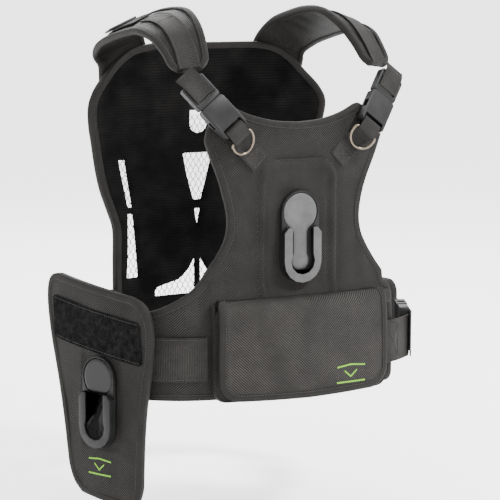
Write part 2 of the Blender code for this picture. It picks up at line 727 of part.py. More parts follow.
def pocket():
    half, low, high = POCKET
    outline = rounded_box(-half + 2, half - 2, low, high, 14)
    body = sewn("pocket_body", outline, POCKET_LIFTS, "nylon")
    inner = [(s, z if z < high - 20 else high + 4) for s, z in grown(outline, -2.0)]
    inner = [p for n, p in enumerate(inner) if p not in inner[:n]]
    hollow = sewn("pocket_hollow", inner, (12.9, 20.6), "nylon", parent=body)
    VEST.objects.unlink(hollow)
    CUTTERS.objects.link(hollow)
    hollow.hide_render = True
    hollow.display_type = "WIRE"
    join(body, [hollow], "DIFFERENCE")
    tape = [(-80, 6), (80, 6), (80, 40), (-80, 40)]
    sewn("pocket_hook_tape", tape, (22.8, 23.9), "fastener_tape")

    holder = empty("pocket_flap_hinge", (0, FLAP_AXIS_Y, FLAP_TOP))
    wide = half - FLAP_INSET
    edge = [(-wide, FLAP_TOP)] + flap_foot(wide, -44) + [(wide, FLAP_TOP)]
    inset = beside(edge, TAPE)
    sewn("flap_binding", edge + inset[::-1], (25.6, 28.8), "binding", parent=holder)
    body_edge = beside(edge, TAPE + GAP)
    flap = sewn("pocket_flap", body_edge, (26.2, 28.2), "nylon", parent=holder)
    ends = wide - TAPE - GAP - 0.4
    front = [tuple(on_body(s, FLAP_TOP, 27.5).xy) for s in (-ends, *(n * COLUMN for n in range(-3, 4)), ends)]
    top = front + [(front[-1][0], FLAP_AXIS_Y), (front[0][0], FLAP_AXIS_Y)]
    roof = slab("flap_roof", top, (FLAP_TOP - 1.7, FLAP_TOP + 0.3), "nylon", Matrix.Identity(4), helper=True)
    roof.parent = flap
    roof.matrix_parent_inverse = flap.matrix_world.inverted()
    join(flap, [roof])
    sewn("flap_loop_tape", tape, (24.5, 25.8), "fastener_tape", parent=holder)
    back = [tuple(on_body(n * COLUMN, FLAP_TOP - 2.6, 10.5).xy) for n in range(-4, 5)]
    root = back + [(back[-1][0], FLAP_AXIS_Y + 0.4), (back[0][0], FLAP_AXIS_Y + 0.4)]
    slab("flap_root", root, (FLAP_TOP - 2.6, FLAP_TOP + 0.4), "nylon", Matrix.Identity(4))


def flap_foot(half, low):
    """The flap's rounded foot, bowed a little, from the left end to the right one."""
    turns = [(-half, 10)]
    for centre, start in ((-half + 24, 180), (half - 24, 270)):
        for n in range(5):
            angle = math.radians(start + 90 * n / 4)
            turns.append((centre + 24 * math.cos(angle), low + 26 + 24 * math.sin(angle)))
        if centre < 0:
            turns.append((0, low))
    return turns + [(half, 10)]


# ---------------------------------------------------------------- waist buckle

WAIST_TURN = math.radians(64)
WAIST_INSET = 1.0


def belt_adjuster(s):
    """A two-bar slider on the belt."""
    nx, ny = section(s)[2:]
    place = axes(on_body(s, BELT_LEVEL, 15.2), Vector((-ny, nx, 0)), Vector((0, 0, 1)), Vector((nx, ny, 0)))
    slots = [rounded_box(-6 + 7 * k, -1 + 7 * k, -25.6, 25.6, 0.8, 1) for k in (0, 1)]
    slab("belt_slider", rounded_box(-8, 8, -30, 30, 3), (0, 3.0), "acetal", place, slots)


def waist():
    belt_strip("belt_web", -(ROUND - BUCKLE_GAP[1] - 3), -(POCKET[0] + 3.5), BELT)
    belt_strip("belt_hook_tape", -160, -118, (10.4, 11.4), "fastener_tape")
    belt_adjuster(-(ROUND - 300))
    sewn("side_tab", rounded_box(108, 126, 50, 66, 2, 1), (11.2, 13.4), "webbing")
    outward = Vector((math.sin(WAIST_TURN), -math.cos(WAIST_TURN), 0))
    along = Vector((-math.cos(WAIST_TURN), -math.sin(WAIST_TURN), 0))
    centre = Vector((SIDE_CENTRE, 0, BELT_LEVEL)) + outward * (SIDE_ARC[0] - WAIST_INSET)
    buckle = WAIST_BUCKLE
    foot = centre - along * (buckle.socket_long - 4)
    place = buckle_axes(foot, along, outward)
    buckle.socket("waist_socket", place)
    holder = empty("waist_plug_slide", foot)
    buckle.plug("waist_plug", place, holder)
    mouth = buckle.socket_long + GAP
    rows = [(place @ Vector((0, mouth + v, lift)), outward) for v, lift in ((11, 6.2), (28, 6.2), (42, 4.6), (58, 2.4))]
    ribbon("waist_plug_web", with_heading(rows), BELT_WIDTH, (0, 1.8), "webbing", parent=holder)
    end = place @ Vector((0, mouth + buckle.plug_long + 26.5, 0))
    taut = [on_body(POCKET[0] + 3.5, BELT_LEVEL, 14.0), on_body(BUCKLE_GAP[0] + 2, BELT_LEVEL, 14.0), end]
    normals = [Vector((0.24, -0.97, 0)), Vector((0.50, -0.87, 0)), Vector((0.66, -0.75, 0))]
    ribbon("belt_web_front", with_heading(list(zip(taut, normals))), BELT_WIDTH, (0, 1.8), "webbing")


# ---------------------------------------------------------------- holster

HOLSTER_TURN = math.radians(-68)
HOLSTER_LIFT = 17.0
HOLSTER_EDGE = ((56, 72), (70, 68), (78, 58), (81, 42), (79, 20), (73, -8), (66, -40), (60, -80), (56, -118), (54, -134),
                (47, -150), (34, -160))
HOLSTER_BEND = 420.0
HOLSTER_RECEIVER = -46.0


def slanted(outline):
    """Leans and slopes an outline as the holster hangs: its level lines fall forwards, and its top leans back."""
    return [(u - 9 - (v - 72) * 15 / 232 - 3, v - 0.14 * u + max(0.0, v) / 6) for u, v in outline]


def holster():
    outward = Vector((math.sin(HOLSTER_TURN), -math.cos(HOLSTER_TURN), 0))
    middle = Vector((-SIDE_CENTRE, 0, 0)) + outward * (SIDE_ARC[0] + HOLSTER_LIFT)
    across = Vector((-outward.y, outward.x, 0))
    place = axes(middle, across, Vector((0, 0, 1)), outward)
    holder = empty("holster_hinge", (-SIDE_CENTRE, 0, BELT_LEVEL))

    def bent(u, v, lift):
        turn = u / HOLSTER_BEND
        reach = HOLSTER_BEND + lift
        return place @ Vector((reach * math.sin(turn), v, reach * math.cos(turn) - HOLSTER_BEND))

    lines = [n * 20.0 for n in range(-4, 5)]

    def layer(name, outline, lifts, paint, holes=()):
        bm = cut(outline, *lifts, holes, [u for u in lines if min(p[0] for p in outline) < u < max(p[0] for p in outline)])
        return finish(name, bend(bm, bent), paint, holder)

    half = smooth_line(HOLSTER_EDGE, 15)
    outline = slanted(half + [(-u, v) for u, v in reversed(half)])
    holes = [shifted(circle(2.0), 0, HOLSTER_RECEIVER + z) for z in (-26, 26)]
    body = grown(outline, -TAPE - GAP)
    pockets = [shifted(circle(4.0), 0, HOLSTER_RECEIVER + z) for z in (-26, 26)]
    layer("holster_back_cloth", body, (0.0, 1.4), "nylon")
    layer("holster_core", body, (1.7, 4.9), "foam", pockets)
    layer("holster_face", body, (5.2, 6.6), "nylon", holes)
    layer("holster_binding", outline, (-0.6, 7.2), "binding", [grown(outline, -TAPE)])
    layer("holster_loop_tape", slanted(rounded_box(-67, 67, 8, 50, 3, 2)), (6.9, 8.3), "fastener_tape")
    seat = place @ Matrix.Translation((0, HOLSTER_RECEIVER, 7.0))
    receiver("holster_receiver", seat, (-26, 26), holder)
    for number, level in enumerate((-26, 26)):
        screw(f"holster_screw_{number + 1}", seat, level, -3.6, holder)

    def round_belt(s, z, lift):
        turn = HOLSTER_TURN + s / SIDE_ARC[0]
        reach = SIDE_ARC[0] + lift
        return Vector((-SIDE_CENTRE + reach * math.sin(turn), -reach * math.cos(turn), z))

    def sleeve_part(name, outline, lifts):
        bm = cut(outline, *lifts, (), [n * 10.0 for n in range(-3, 4)])
        return finish(name, bend(bm, round_belt), "nylon", holder)

    low, high = BELT_LEVEL - BELT_WIDTH / 2, BELT_LEVEL + BELT_WIDTH / 2
    sleeve = sleeve_part("holster_sleeve", [(-40, low - 4), (40, low - 4), (40, high + 4), (-40, high + 4)], (10.7, 16.0))
    tunnel = sleeve_part("holster_tunnel", [(-44, low - 1), (44, low - 1), (44, high + 1), (-44, high + 1)], (11.5, 15.2))
    VEST.objects.unlink(tunnel)
    CUTTERS.objects.link(tunnel)
    tunnel.hide_render = True
    tunnel.display_type = "WIRE"
    join(sleeve, [tunnel], "DIFFERENCE")


# ---------------------------------------------------------------- assembly

front_panel()
left_wing()
back_panel()
waist()
pocket()
receiver_y = on_body(0, CHEST_RECEIVER_LEVEL, 12.1).y
chest_seat = axes(Vector((0, receiver_y, CHEST_RECEIVER_LEVEL)), Vector((1, 0, 0)), Vector((0, 0, 1)), Vector((0, -1, 0)))
receiver("chest_receiver", chest_seat, (-26, 26))
for number, level in enumerate((-26, 26)):
    screw(f"chest_screw_{number + 1}", chest_seat, level, -9.2)
slab("chest_back_plate", rounded_box(-27, 27, -43, 43, 6), (-8.9, -6.2), "polycarbonate", chest_seat,
     [shifted(circle(2.0), 0, level) for level in (-26, 26)])
shoulder(1, "left")
shoulder(-1, "right")
holster()
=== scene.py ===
# %% [markdown]
# # A camera carrying vest
# The vest is sewn from flat cuts: bound nylon panels, foam, spacer mesh, webbing and moulded buckles. Its
# solids come ready made as a frame, already in place and jointed. This script makes the visible surfaces
# around that frame, one piece after another: first the tools of the workroom, then the cloth, then the
# hardware and the light.

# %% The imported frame
import math

import bmesh
import bpy
import numpy as np
from mathutils import Matrix, Vector
from mathutils.geometry import delaunay_2d_cdt


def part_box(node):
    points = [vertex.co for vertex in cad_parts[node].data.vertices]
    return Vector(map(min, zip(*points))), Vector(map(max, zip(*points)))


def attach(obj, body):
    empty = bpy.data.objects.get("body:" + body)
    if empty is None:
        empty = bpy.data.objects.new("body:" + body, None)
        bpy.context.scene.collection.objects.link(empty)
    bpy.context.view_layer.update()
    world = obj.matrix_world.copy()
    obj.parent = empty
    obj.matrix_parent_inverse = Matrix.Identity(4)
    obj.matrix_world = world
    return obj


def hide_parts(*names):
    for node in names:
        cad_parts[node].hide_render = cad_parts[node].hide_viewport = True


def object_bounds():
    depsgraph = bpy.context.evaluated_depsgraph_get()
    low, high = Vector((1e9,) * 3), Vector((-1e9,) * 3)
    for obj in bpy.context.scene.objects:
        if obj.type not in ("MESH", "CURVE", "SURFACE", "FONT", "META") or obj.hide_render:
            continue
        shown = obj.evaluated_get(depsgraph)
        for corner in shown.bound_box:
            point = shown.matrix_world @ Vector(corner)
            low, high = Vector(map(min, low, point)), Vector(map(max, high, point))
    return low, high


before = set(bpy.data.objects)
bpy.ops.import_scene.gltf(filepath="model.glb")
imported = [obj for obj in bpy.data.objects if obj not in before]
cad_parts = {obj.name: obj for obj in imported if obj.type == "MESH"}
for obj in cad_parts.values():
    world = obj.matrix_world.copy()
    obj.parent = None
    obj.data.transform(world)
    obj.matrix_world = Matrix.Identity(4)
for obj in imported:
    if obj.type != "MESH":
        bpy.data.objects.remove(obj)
CAD_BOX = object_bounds()
MM = 0.001

# %% [markdown]
# ## The body form
# Every panel is cut flat and then worn. A flat point is (s, z, lift): s runs round the waist from the front
# centre to the wearer's left, z is the height, and lift is the distance out from the body. The waist is an
# oval of four arcs; the chest is a little shallower than the belly, so its depth changes smoothly with
# height. Bending flat cuts over one form keeps the seams of neighbouring layers together, which separate
# modelling would not.

# %% The body form
SHALLOW_ARC, SIDE_ARC = (520.0, math.radians(12)), (115.0, math.radians(78))
SHALLOW = SHALLOW_ARC[0] * SHALLOW_ARC[1]
QUARTER = SHALLOW + SIDE_ARC[0] * SIDE_ARC[1]
BACK, ROUND = 2 * QUARTER, 4 * QUARTER
SIDE_CENTRE = (SHALLOW_ARC[0] - SIDE_ARC[0]) * math.sin(SHALLOW_ARC[1])
HALF_DEPTH = SHALLOW_ARC[0] - (SHALLOW_ARC[0] - SIDE_ARC[0]) * math.cos(SHALLOW_ARC[1])
HEIGHTS = (-60, 35, 60, 84, 186, 215, 250, 280, 315, 350)
FRONT_DEPTH = (1.0, 1.0, 0.98, 0.905, 0.905, 0.93, 0.95, 0.94, 0.92, 0.90)
BACK_DEPTH = (1.0, 1.0, 1.0, 1.0, 1.0, 0.985, 0.96, 0.935, 0.90, 0.86)
LEVELS = np.arange(-120.0, 420.0, 1.0)


def eased(depths):
    """The depth at every level, with the corners between the heights rounded off."""
    table = np.interp(LEVELS, HEIGHTS, depths)
    kernel = np.hanning(19)
    return np.convolve(np.pad(table, 9, mode="edge"), kernel / kernel.sum(), mode="valid")


FRONT_TABLE, BACK_TABLE = eased(FRONT_DEPTH), eased(BACK_DEPTH)


def outline_at(s):
    """Points and outward directions of the waist oval, for an array of s."""
    s = (np.asarray(s, float) + BACK) % ROUND - BACK
    side = np.where(s >= 0, 1.0, -1.0)
    behind = np.abs(s) > QUARTER
    left = np.where(behind, BACK - np.abs(s), np.abs(s))
    flat = left <= SHALLOW
    turn = np.where(flat, left / SHALLOW_ARC[0], SHALLOW_ARC[1] + (left - SHALLOW) / SIDE_ARC[0])
    x = np.where(flat, SHALLOW_ARC[0] * np.sin(turn), SIDE_CENTRE + SIDE_ARC[0] * np.sin(turn))
    y = np.where(flat, SHALLOW_ARC[0] * (np.cos(turn) - 1) + HALF_DEPTH, SIDE_ARC[0] * np.cos(turn))
    flip = np.where(behind, 1.0, -1.0)
    return side * x, flip * y, side * np.sin(turn), flip * np.cos(turn)


def worn(flat):
    """Flat points (s, z, lift) in mm, as places in metres."""
    flat = np.atleast_2d(np.asarray(flat, float))
    x, y, nx, ny = outline_at(flat[:, 0])
    before, behind = (np.interp(flat[:, 1], LEVELS, table) for table in (FRONT_TABLE, BACK_TABLE))
    depth = np.where(y < 0, before, behind)
    ny = ny / depth
    long = np.hypot(nx, ny)
    lift = flat[:, 2]
    return np.column_stack((x + nx / long * lift, y * depth + ny / long * lift, flat[:, 1])) * MM


print("waist round:", round(ROUND), "mm")

# %% [markdown]
# ## Shader arithmetic
# Weave, ribs and grain are formulas over a surface, so materials are written as Python expressions. One
# class wraps a node socket and turns +, -, * and / into Math nodes; a second one owns a material and adds
# any other node.

# %% Shader arithmetic


def operator(operation, swapped=False):
    """A method that feeds its values to one Math node."""
    def method(*values):
        return values[0].recipe.node("ShaderNodeMath", {"operation": operation},
                                     dict(enumerate(values[::-1] if swapped else values)))
    return method


class Field:
    """A value that varies over a surface."""

    def __init__(self, recipe, socket):
        self.recipe, self.socket = recipe, socket

    __add__, __radd__ = operator("ADD"), operator("ADD", True)
    __sub__, __rsub__ = operator("SUBTRACT"), operator("SUBTRACT", True)
    __mul__, __truediv__, __pow__ = operator("MULTIPLY"), operator("DIVIDE"), operator("POWER")
    __mod__, __abs__ = operator("FLOORED_MODULO"), operator("ABSOLUTE")
    sin, floor = operator("SINE"), operator("FLOOR")

    def over(self, low, high):
        """0 at low and below, 1 at high and above."""
        return self.recipe.node("ShaderNodeMapRange", {"interpolation_type": "SMOOTHSTEP"},
                                {"Value": self, "From Min": low, "From Max": high})


class Recipe:
    """A Principled material and the nodes that feed it."""

    def __init__(self, name, roughness=0.6, metallic=0.0, **fixed):
        self.material = bpy.data.materials.new(name)
        self.material.use_nodes = True
        self.tree = self.material.node_tree
        self.shader = self.tree.nodes["Principled BSDF"]
        self.feed("Roughness", roughness)
        self.feed("Metallic", metallic)
        for socket, value in fixed.items():
            self.shader.inputs[socket.replace("_", " ")].default_value = value

    def node(self, kind, settings=(), sockets=(), out=0):
        made = self.tree.nodes.new(kind)
        for key, value in dict(settings).items():
            setattr(made, key, value)
        for key, value in dict(sockets).items():
            self.plug(made.inputs[key], value)
        return Field(self, made.outputs[out])

    def plug(self, socket, value):
        if isinstance(value, Field):
            self.tree.links.new(value.socket, socket)
        else:
            socket.default_value = value

    def feed(self, name, value):
        self.plug(self.shader.inputs[name], value)

    def flat_place(self):
        """The two coordinates of the piece's own UV map, in millimetres."""
        place = self.node("ShaderNodeTexCoord", out="UV")
        apart = self.node("ShaderNodeSeparateXYZ", sockets={0: place})
        u = apart * 1000.0
        v = Field(self, apart.socket.node.outputs["Y"]) * 1000.0
        return u, v

    def noise(self, scale, detail=3.0, roughness=0.55):
        place = self.node("ShaderNodeTexCoord", out="Object")
        return self.node("ShaderNodeTexNoise", sockets={"Vector": place, "Scale": scale, "Detail": detail,
                                                        "Roughness": roughness})

    def mix(self, share, low, high):
        """A colour between two colours."""
        return self.node("ShaderNodeMix", {"data_type": "RGBA"}, {0: share, 6: low, 7: high}, out=2)

    def raise_surface(self, height, distance, strength=1.0):
        sockets = {"Height": height, "Distance": distance, "Strength": strength}
        self.feed("Normal", self.node("ShaderNodeBump", sockets=sockets))


def shade(value, warm=0.0):
    """A near-grey colour; warm shifts it towards brown."""
    return (value * (1 + warm), value, value * (1 - warm), 1.0)


print("shader tools ready")

# %% [markdown]
# ## Cloth finishes
# The nylon is a herringbone twill: its diagonal turns round from one upright band to the next, so
# neighbouring bands catch the light differently. The binding and the webbing are ribbed across their
# length. The lining is a spacer mesh with fine level ridges. In all three the raised threads, ribs and
# ridges are painted lighter than the hollows between them, a painted highlight on top of the bump.

# %% Herringbone nylon


def herringbone(name, band, pitch=2.7, value=0.0006, glint=0.036):
    """Twill whose diagonal turns round from one upright band to the next; band is a band's width in mm."""
    recipe = Recipe(name, Specular_IOR_Level=0.09)
    u, v = recipe.flat_place()
    lean = ((u / band).floor() % 2.0) * 2.0 - 1.0
    wander = (recipe.noise(45.0, 2.0) - 0.5) * 0.9
    row = (v + lean * u + wander) / pitch
    ridge = abs((row * math.pi).sin())
    strand = abs(((v - lean * u) * (math.pi / 1.7)).sin())
    height = (ridge ** 1.8) * (0.7 + strand * 0.3)
    drift = recipe.noise(28.0, 4.0)
    fleck = recipe.noise(760.0, 2.0).over(0.42, 0.72)
    # The raised threads are coloured towards the glint colour: a painted highlight on the twill's ridges. The
    # flecks and the slow drift are random yarn tone.
    tone = height * (fleck * 0.4 + 0.6) * (drift.over(0.2, 0.8) * 0.5 + 0.5)
    recipe.feed("Base Color", recipe.mix(tone, shade(value, 0.06), shade(glint, 0.07)))
    recipe.feed("Roughness", 0.62 - height * 0.16 + (drift - 0.5) * 0.12)
    recipe.raise_surface(height, 0.0004, 1.0)
    return recipe.material


NYLON = herringbone("herringbone_nylon", 15.0, 2.9)
FLAP_NYLON = herringbone("twill_nylon", 4000.0, 3.1, 0.001, 0.058)
print("weaves:", NYLON.name, FLAP_NYLON.name)

# %% Binding tape and webbing


def ribbed_tape(name, pitch, value, glint, warm=0.06, depth=0.00022, wave=0.0):
    """Cross ribs along U, with a faint wave from side to side for a chevron webbing."""
    recipe = Recipe(name, Specular_IOR_Level=0.14)
    u, v = recipe.flat_place()
    row = u / pitch
    if wave:
        row = row + abs((v / wave) % 2.0 - 1.0) * 0.8
    rib = abs((row * math.pi).sin()) ** 0.7
    yarn = abs((v * (math.pi / 1.1)).sin())
    height = rib * (0.72 + yarn * 0.28)
    drift = recipe.noise(60.0, 4.0)
    fluff = recipe.noise(1400.0, 2.0)
    # The raised ribs are coloured towards the glint colour: a painted highlight on the ribs. The fluff and
    # the drift are random yarn tone.
    tone = height * 0.7 * fluff.over(0.2, 0.8) + (drift - 0.5) * 0.4
    recipe.feed("Base Color", recipe.mix(tone, shade(value, warm), shade(glint, warm)))
    recipe.feed("Roughness", 0.78 - height * 0.2)
    recipe.raise_surface(height + fluff * 0.25, depth, 0.9)
    return recipe.material


BINDING = ribbed_tape("grosgrain_binding", 1.15, 0.002, 0.022, 0.10)
WEBBING = ribbed_tape("nylon_webbing", 1.9, 0.002, 0.036, 0.09, 0.0003, wave=6.0)
print("tapes:", BINDING.name, WEBBING.name)

# %% Spacer mesh, net, fastener tape and thread


def spacer_mesh():
    recipe = Recipe("spacer_mesh", Specular_IOR_Level=0.05)
    u, v = recipe.flat_place()
    ridge = abs((v * (math.pi / 3.4)).sin()) ** 0.5
    pore = abs((u * (math.pi / 1.5) + (v / 3.4).floor() * 1.57).sin())
    height = ridge * (0.6 + pore * 0.4)
    patch = recipe.noise(30.0, 3.0)
    # The ridges are coloured lighter and the pores and furrows between them darker: a painted highlight on
    # the ridges over painted shade in the hollows. The patch noise is random tone.
    tone = height * patch.over(0.25, 0.85)
    recipe.feed("Base Color", recipe.mix(tone, (0.0006, 0.0006, 0.0007, 1), (0.008, 0.0075, 0.007, 1)))
    recipe.feed("Roughness", 0.95 - pore * 0.15)
    recipe.raise_surface(height, 0.0005, 0.8)
    return recipe.material


def fuzzy_tape(name, value, glint):
    recipe = Recipe(name, Specular_IOR_Level=0.05)
    curl = recipe.noise(1100.0, 5.0, 0.7)
    clump = recipe.noise(160.0, 3.0)
    # The curl noise both raises the fibres and colours them towards the glint colour: partly random fibre
    # tone, partly a painted highlight on the raised fibres.
    tone = curl.over(0.35, 0.75) * clump.over(0.2, 0.8)
    recipe.feed("Base Color", recipe.mix(tone, shade(value), shade(glint)))
    recipe.feed("Roughness", 0.98)
    recipe.raise_surface(curl + clump * 0.4, 0.0006, 1.0)
    return recipe.material


def twisted_thread(name, colour, bright):
    recipe = Recipe(name, roughness=0.6, Specular_IOR_Level=0.2)
    ply = recipe.noise(2500.0, 1.0)
    # The ply noise both raises the thread and colours it towards the brighter colour: partly random yarn
    # tone, partly a painted highlight on the raised plies.
    recipe.feed("Base Color", recipe.mix(ply, colour, bright))
    recipe.raise_surface(ply, 0.0001, 0.6)
    return recipe.material


SPACER = spacer_mesh()
LOOP_TAPE = fuzzy_tape("loop_tape", 0.0008, 0.022)
HOOK_TAPE = fuzzy_tape("hook_tape", 0.0008, 0.018)
SEAM_THREAD = twisted_thread("seam_thread", shade(0.012, 0.05), shade(0.05, 0.05))
NET_CORD = twisted_thread("net_cord", shade(0.02), shade(0.07))
LIME_THREAD = twisted_thread("lime_thread", (0.07, 0.20, 0.012, 1), (0.20, 0.42, 0.04, 1))
print("linings and threads ready")

# %% [markdown]
# ## Moulded and metal finishes
# The buckles are satin acetal with a spark-eroded grain. The keyholes are a harder, glossier black with
# faint flow marks. On the chest keyhole the tops that face out are painted a lighter grey as lit, and the
# sides and low faces a darker black as shade. Handling polishes edges, so roughness drops a little where a
# slow noise says so.

# %% Plastics and metals


def moulded(name, value, roughness, grain):
    recipe = Recipe(name, Specular_IOR_Level=0.22)
    sand = recipe.noise(3200.0, 2.0)
    wear = recipe.noise(55.0, 5.0, 0.6)
    scuff = recipe.noise(420.0, 4.0, 0.7).over(0.60, 0.72)
    recipe.feed("Base Color", recipe.mix(wear.over(0.3, 0.75) * 0.6 + scuff * 0.25, shade(value),
                                         shade(value * 1.8 + 0.003)))
    recipe.feed("Roughness", roughness + (wear - 0.5) * 0.22 + scuff * 0.08)
    recipe.raise_surface(sand + wear * 0.3, grain, 0.7)
    return recipe.material


ACETAL = moulded("satin_acetal", 0.0035, 0.40, 0.00006)
# The first copy below is a lighter grey that paints the lit tops of the chest keyhole and colours the whole
# chest plate; the second is a darker copy that paints shade on the keyhole sides and low faces. The glossy
# copy is as black as the sides, only less rough.
KEYHOLE_LIT_GREY = moulded("keyhole_black", 0.045, 0.5, 0.00005)
KEYHOLE_SHADE_SIDE = moulded("keyhole_side", 0.0015, 0.5, 0.00003)
KEYHOLE_GLOSS = moulded("keyhole_gloss", 0.0015, 0.3, 0.00002)


def plated(name, colour, roughness):
    recipe = Recipe(name, metallic=1.0)
    haze = recipe.noise(300.0, 4.0)
    recipe.feed("Base Color", recipe.mix(haze, colour, tuple(c * 0.55 for c in colour[:3]) + (1,)))
    recipe.feed("Roughness", roughness + haze * 0.15)
    recipe.raise_surface(haze, 0.00003, 0.5)
    return recipe.material


RING_METAL = plated("antique_ring", (0.17, 0.14, 0.105, 1), 0.2)
STEEL = plated("zinc_screw", (0.45, 0.45, 0.46, 1), 0.3)
print("hard finishes ready")

# %% [markdown]
# ## Cutting cloth
# A panel could be modelled by pushing a subdivided plane about, but its real outline is a pattern piece. So
# each panel is cut as a pattern: the outline, a fine net of points inside it, and a triangulation between
# them. The top is then lifted by a relief, which may depend on the distance to the edge, and both faces are
# bent over the body.

# %% Pattern tools


def unit(rows):
    """Each row at length 1."""
    return rows / np.linalg.norm(rows, axis=1)[:, None]


def run_of(line):
    """The length run so far at each point of a line."""
    return np.concatenate(([0], np.cumsum(np.linalg.norm(np.diff(line, axis=0), axis=1))))


def at_marks(marks, run, line):
    """The places on a line where it has run to the marks."""
    return np.column_stack([np.interp(marks, run, line[:, k]) for k in range(line.shape[1])])


def curve_through(points, step=4.0):
    """A Catmull-Rom curve through flat points, with a point about every step."""
    p = np.asarray(points, float)
    p = np.vstack((2 * p[0] - p[1], p, 2 * p[-1] - p[-2]))
    line = []
    for a, b, c, d in zip(p, p[1:], p[2:], p[3:]):
        count = max(1, round(np.linalg.norm(c - b) / step))
        t = (np.arange(count) / count)[:, None]
        square, cube = 2 * a - 5 * b + 4 * c - d, 3 * b - a - 3 * c + d
        line.append(0.5 * (2 * b + (c - a) * t + square * t**2 + cube * t**3))
    return np.vstack(line + [p[-2][None]])


def spaced(line, step, closed=False):
    """The same line with points at an even spacing near step."""
    line = np.asarray(line, float)
    if closed:
        line = np.vstack((line, line[:1]))
    run = run_of(line)
    even = at_marks(np.linspace(0, run[-1], max(2, round(run[-1] / step)) + 1), run, line)
    return even[:-1] if closed else even


def sideways(line, closed=False):
    """Unit directions to the left of a flat line."""
    line = np.asarray(line, float)
    if closed:
        ahead = np.roll(line, -1, 0) - np.roll(line, 1, 0)
    else:
        ahead = np.gradient(line, axis=0)
    ahead = unit(ahead)
    return np.column_stack((-ahead[:, 1], ahead[:, 0]))


def moved(line, by, closed=False):
    """A flat line moved to its left by a distance."""
    return np.asarray(line, float) + sideways(line, closed) * by


def inside(points, loop):
    """Which points lie inside a closed flat loop."""
    x, y = points[:, 0:1], points[:, 1:2]
    a, b = np.asarray(loop, float), np.roll(np.asarray(loop, float), -1, 0)
    crossed = (a[:, 1] > y) != (b[:, 1] > y)
    rise = np.where(b[:, 1] == a[:, 1], 1e-9, b[:, 1] - a[:, 1])
    return (crossed & (x < (b[:, 0] - a[:, 0]) * (y - a[:, 1]) / rise + a[:, 0])).sum(1) % 2 == 1


def edge_distance(points, loops):
    """How far each point is from the nearest of the loops."""
    best = np.full(len(points), 1e9)
    for loop in loops:
        a, b = np.asarray(loop, float), np.roll(np.asarray(loop, float), -1, 0)
        span = b - a
        long = np.maximum((span**2).sum(1), 1e-9)
        for start in range(0, len(points), 4000):
            p = points[start:start + 4000, None, :]
            t = np.clip(((p - a) * span).sum(2) / long, 0, 1)
            near = np.linalg.norm(p - a - t[..., None] * span, axis=2).min(1)
            best[start:start + 4000] = np.minimum(best[start:start + 4000], near)
    return best


def slot_loop(low_s, high_s, low_z, high_z, radius, step=4.0):
    """A rounded rectangle, anticlockwise."""
    loop = []
    for s, z, start in ((high_s, high_z, 0), (low_s, high_z, 90), (low_s, low_z, 180), (high_s, low_z, 270)):
        inner = (s - math.copysign(radius, s - (low_s + high_s) / 2),
                 z - math.copysign(radius, z - (low_z + high_z) / 2))
        for angle in np.radians(np.linspace(start, start + 90, max(2, round(radius * 1.57 / step) + 1))):
            loop.append((inner[0] + radius * math.cos(angle), inner[1] + radius * math.sin(angle)))
    return np.array(loop)


print("pattern tools ready")

# %% Making meshes


def linked(name, data):
    """A new object in the scene."""
    made = bpy.data.objects.new(name, data)
    bpy.context.scene.collection.objects.link(made)
    return made


def settled(made):
    """The mesh that an object's modifiers leave."""
    bpy.context.view_layer.update()
    return bpy.data.meshes.new_from_object(made.evaluated_get(bpy.context.evaluated_depsgraph_get()))


def piece(name, verts, faces, finish, uv=None, smooth=50):
    """A named mesh at the origin; verts in metres, uv one flat place in metres per vertex."""
    mesh = bpy.data.meshes.new(name)
    mesh.from_pydata([tuple(v) for v in verts], [], [tuple(int(k) for k in f) for f in faces])
    mesh.materials.append(finish)
    if uv is not None:
        layer = mesh.uv_layers.new(name="cut")
        loops = np.zeros(len(mesh.loops), np.int32)
        mesh.loops.foreach_get("vertex_index", loops)
        layer.data.foreach_set("uv", np.asarray(uv, np.float32)[loops].ravel())
    mesh.update()
    mesh.shade_smooth()
    mesh.set_sharp_from_angle(angle=math.radians(smooth))
    return linked(name, mesh)


def dressed(made, body, slot, *nodes):
    """Puts a finished piece on its body, in place of its CAD nodes; slot is not used."""
    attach(made, body)
    if nodes:
        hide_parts(*nodes)
    return made


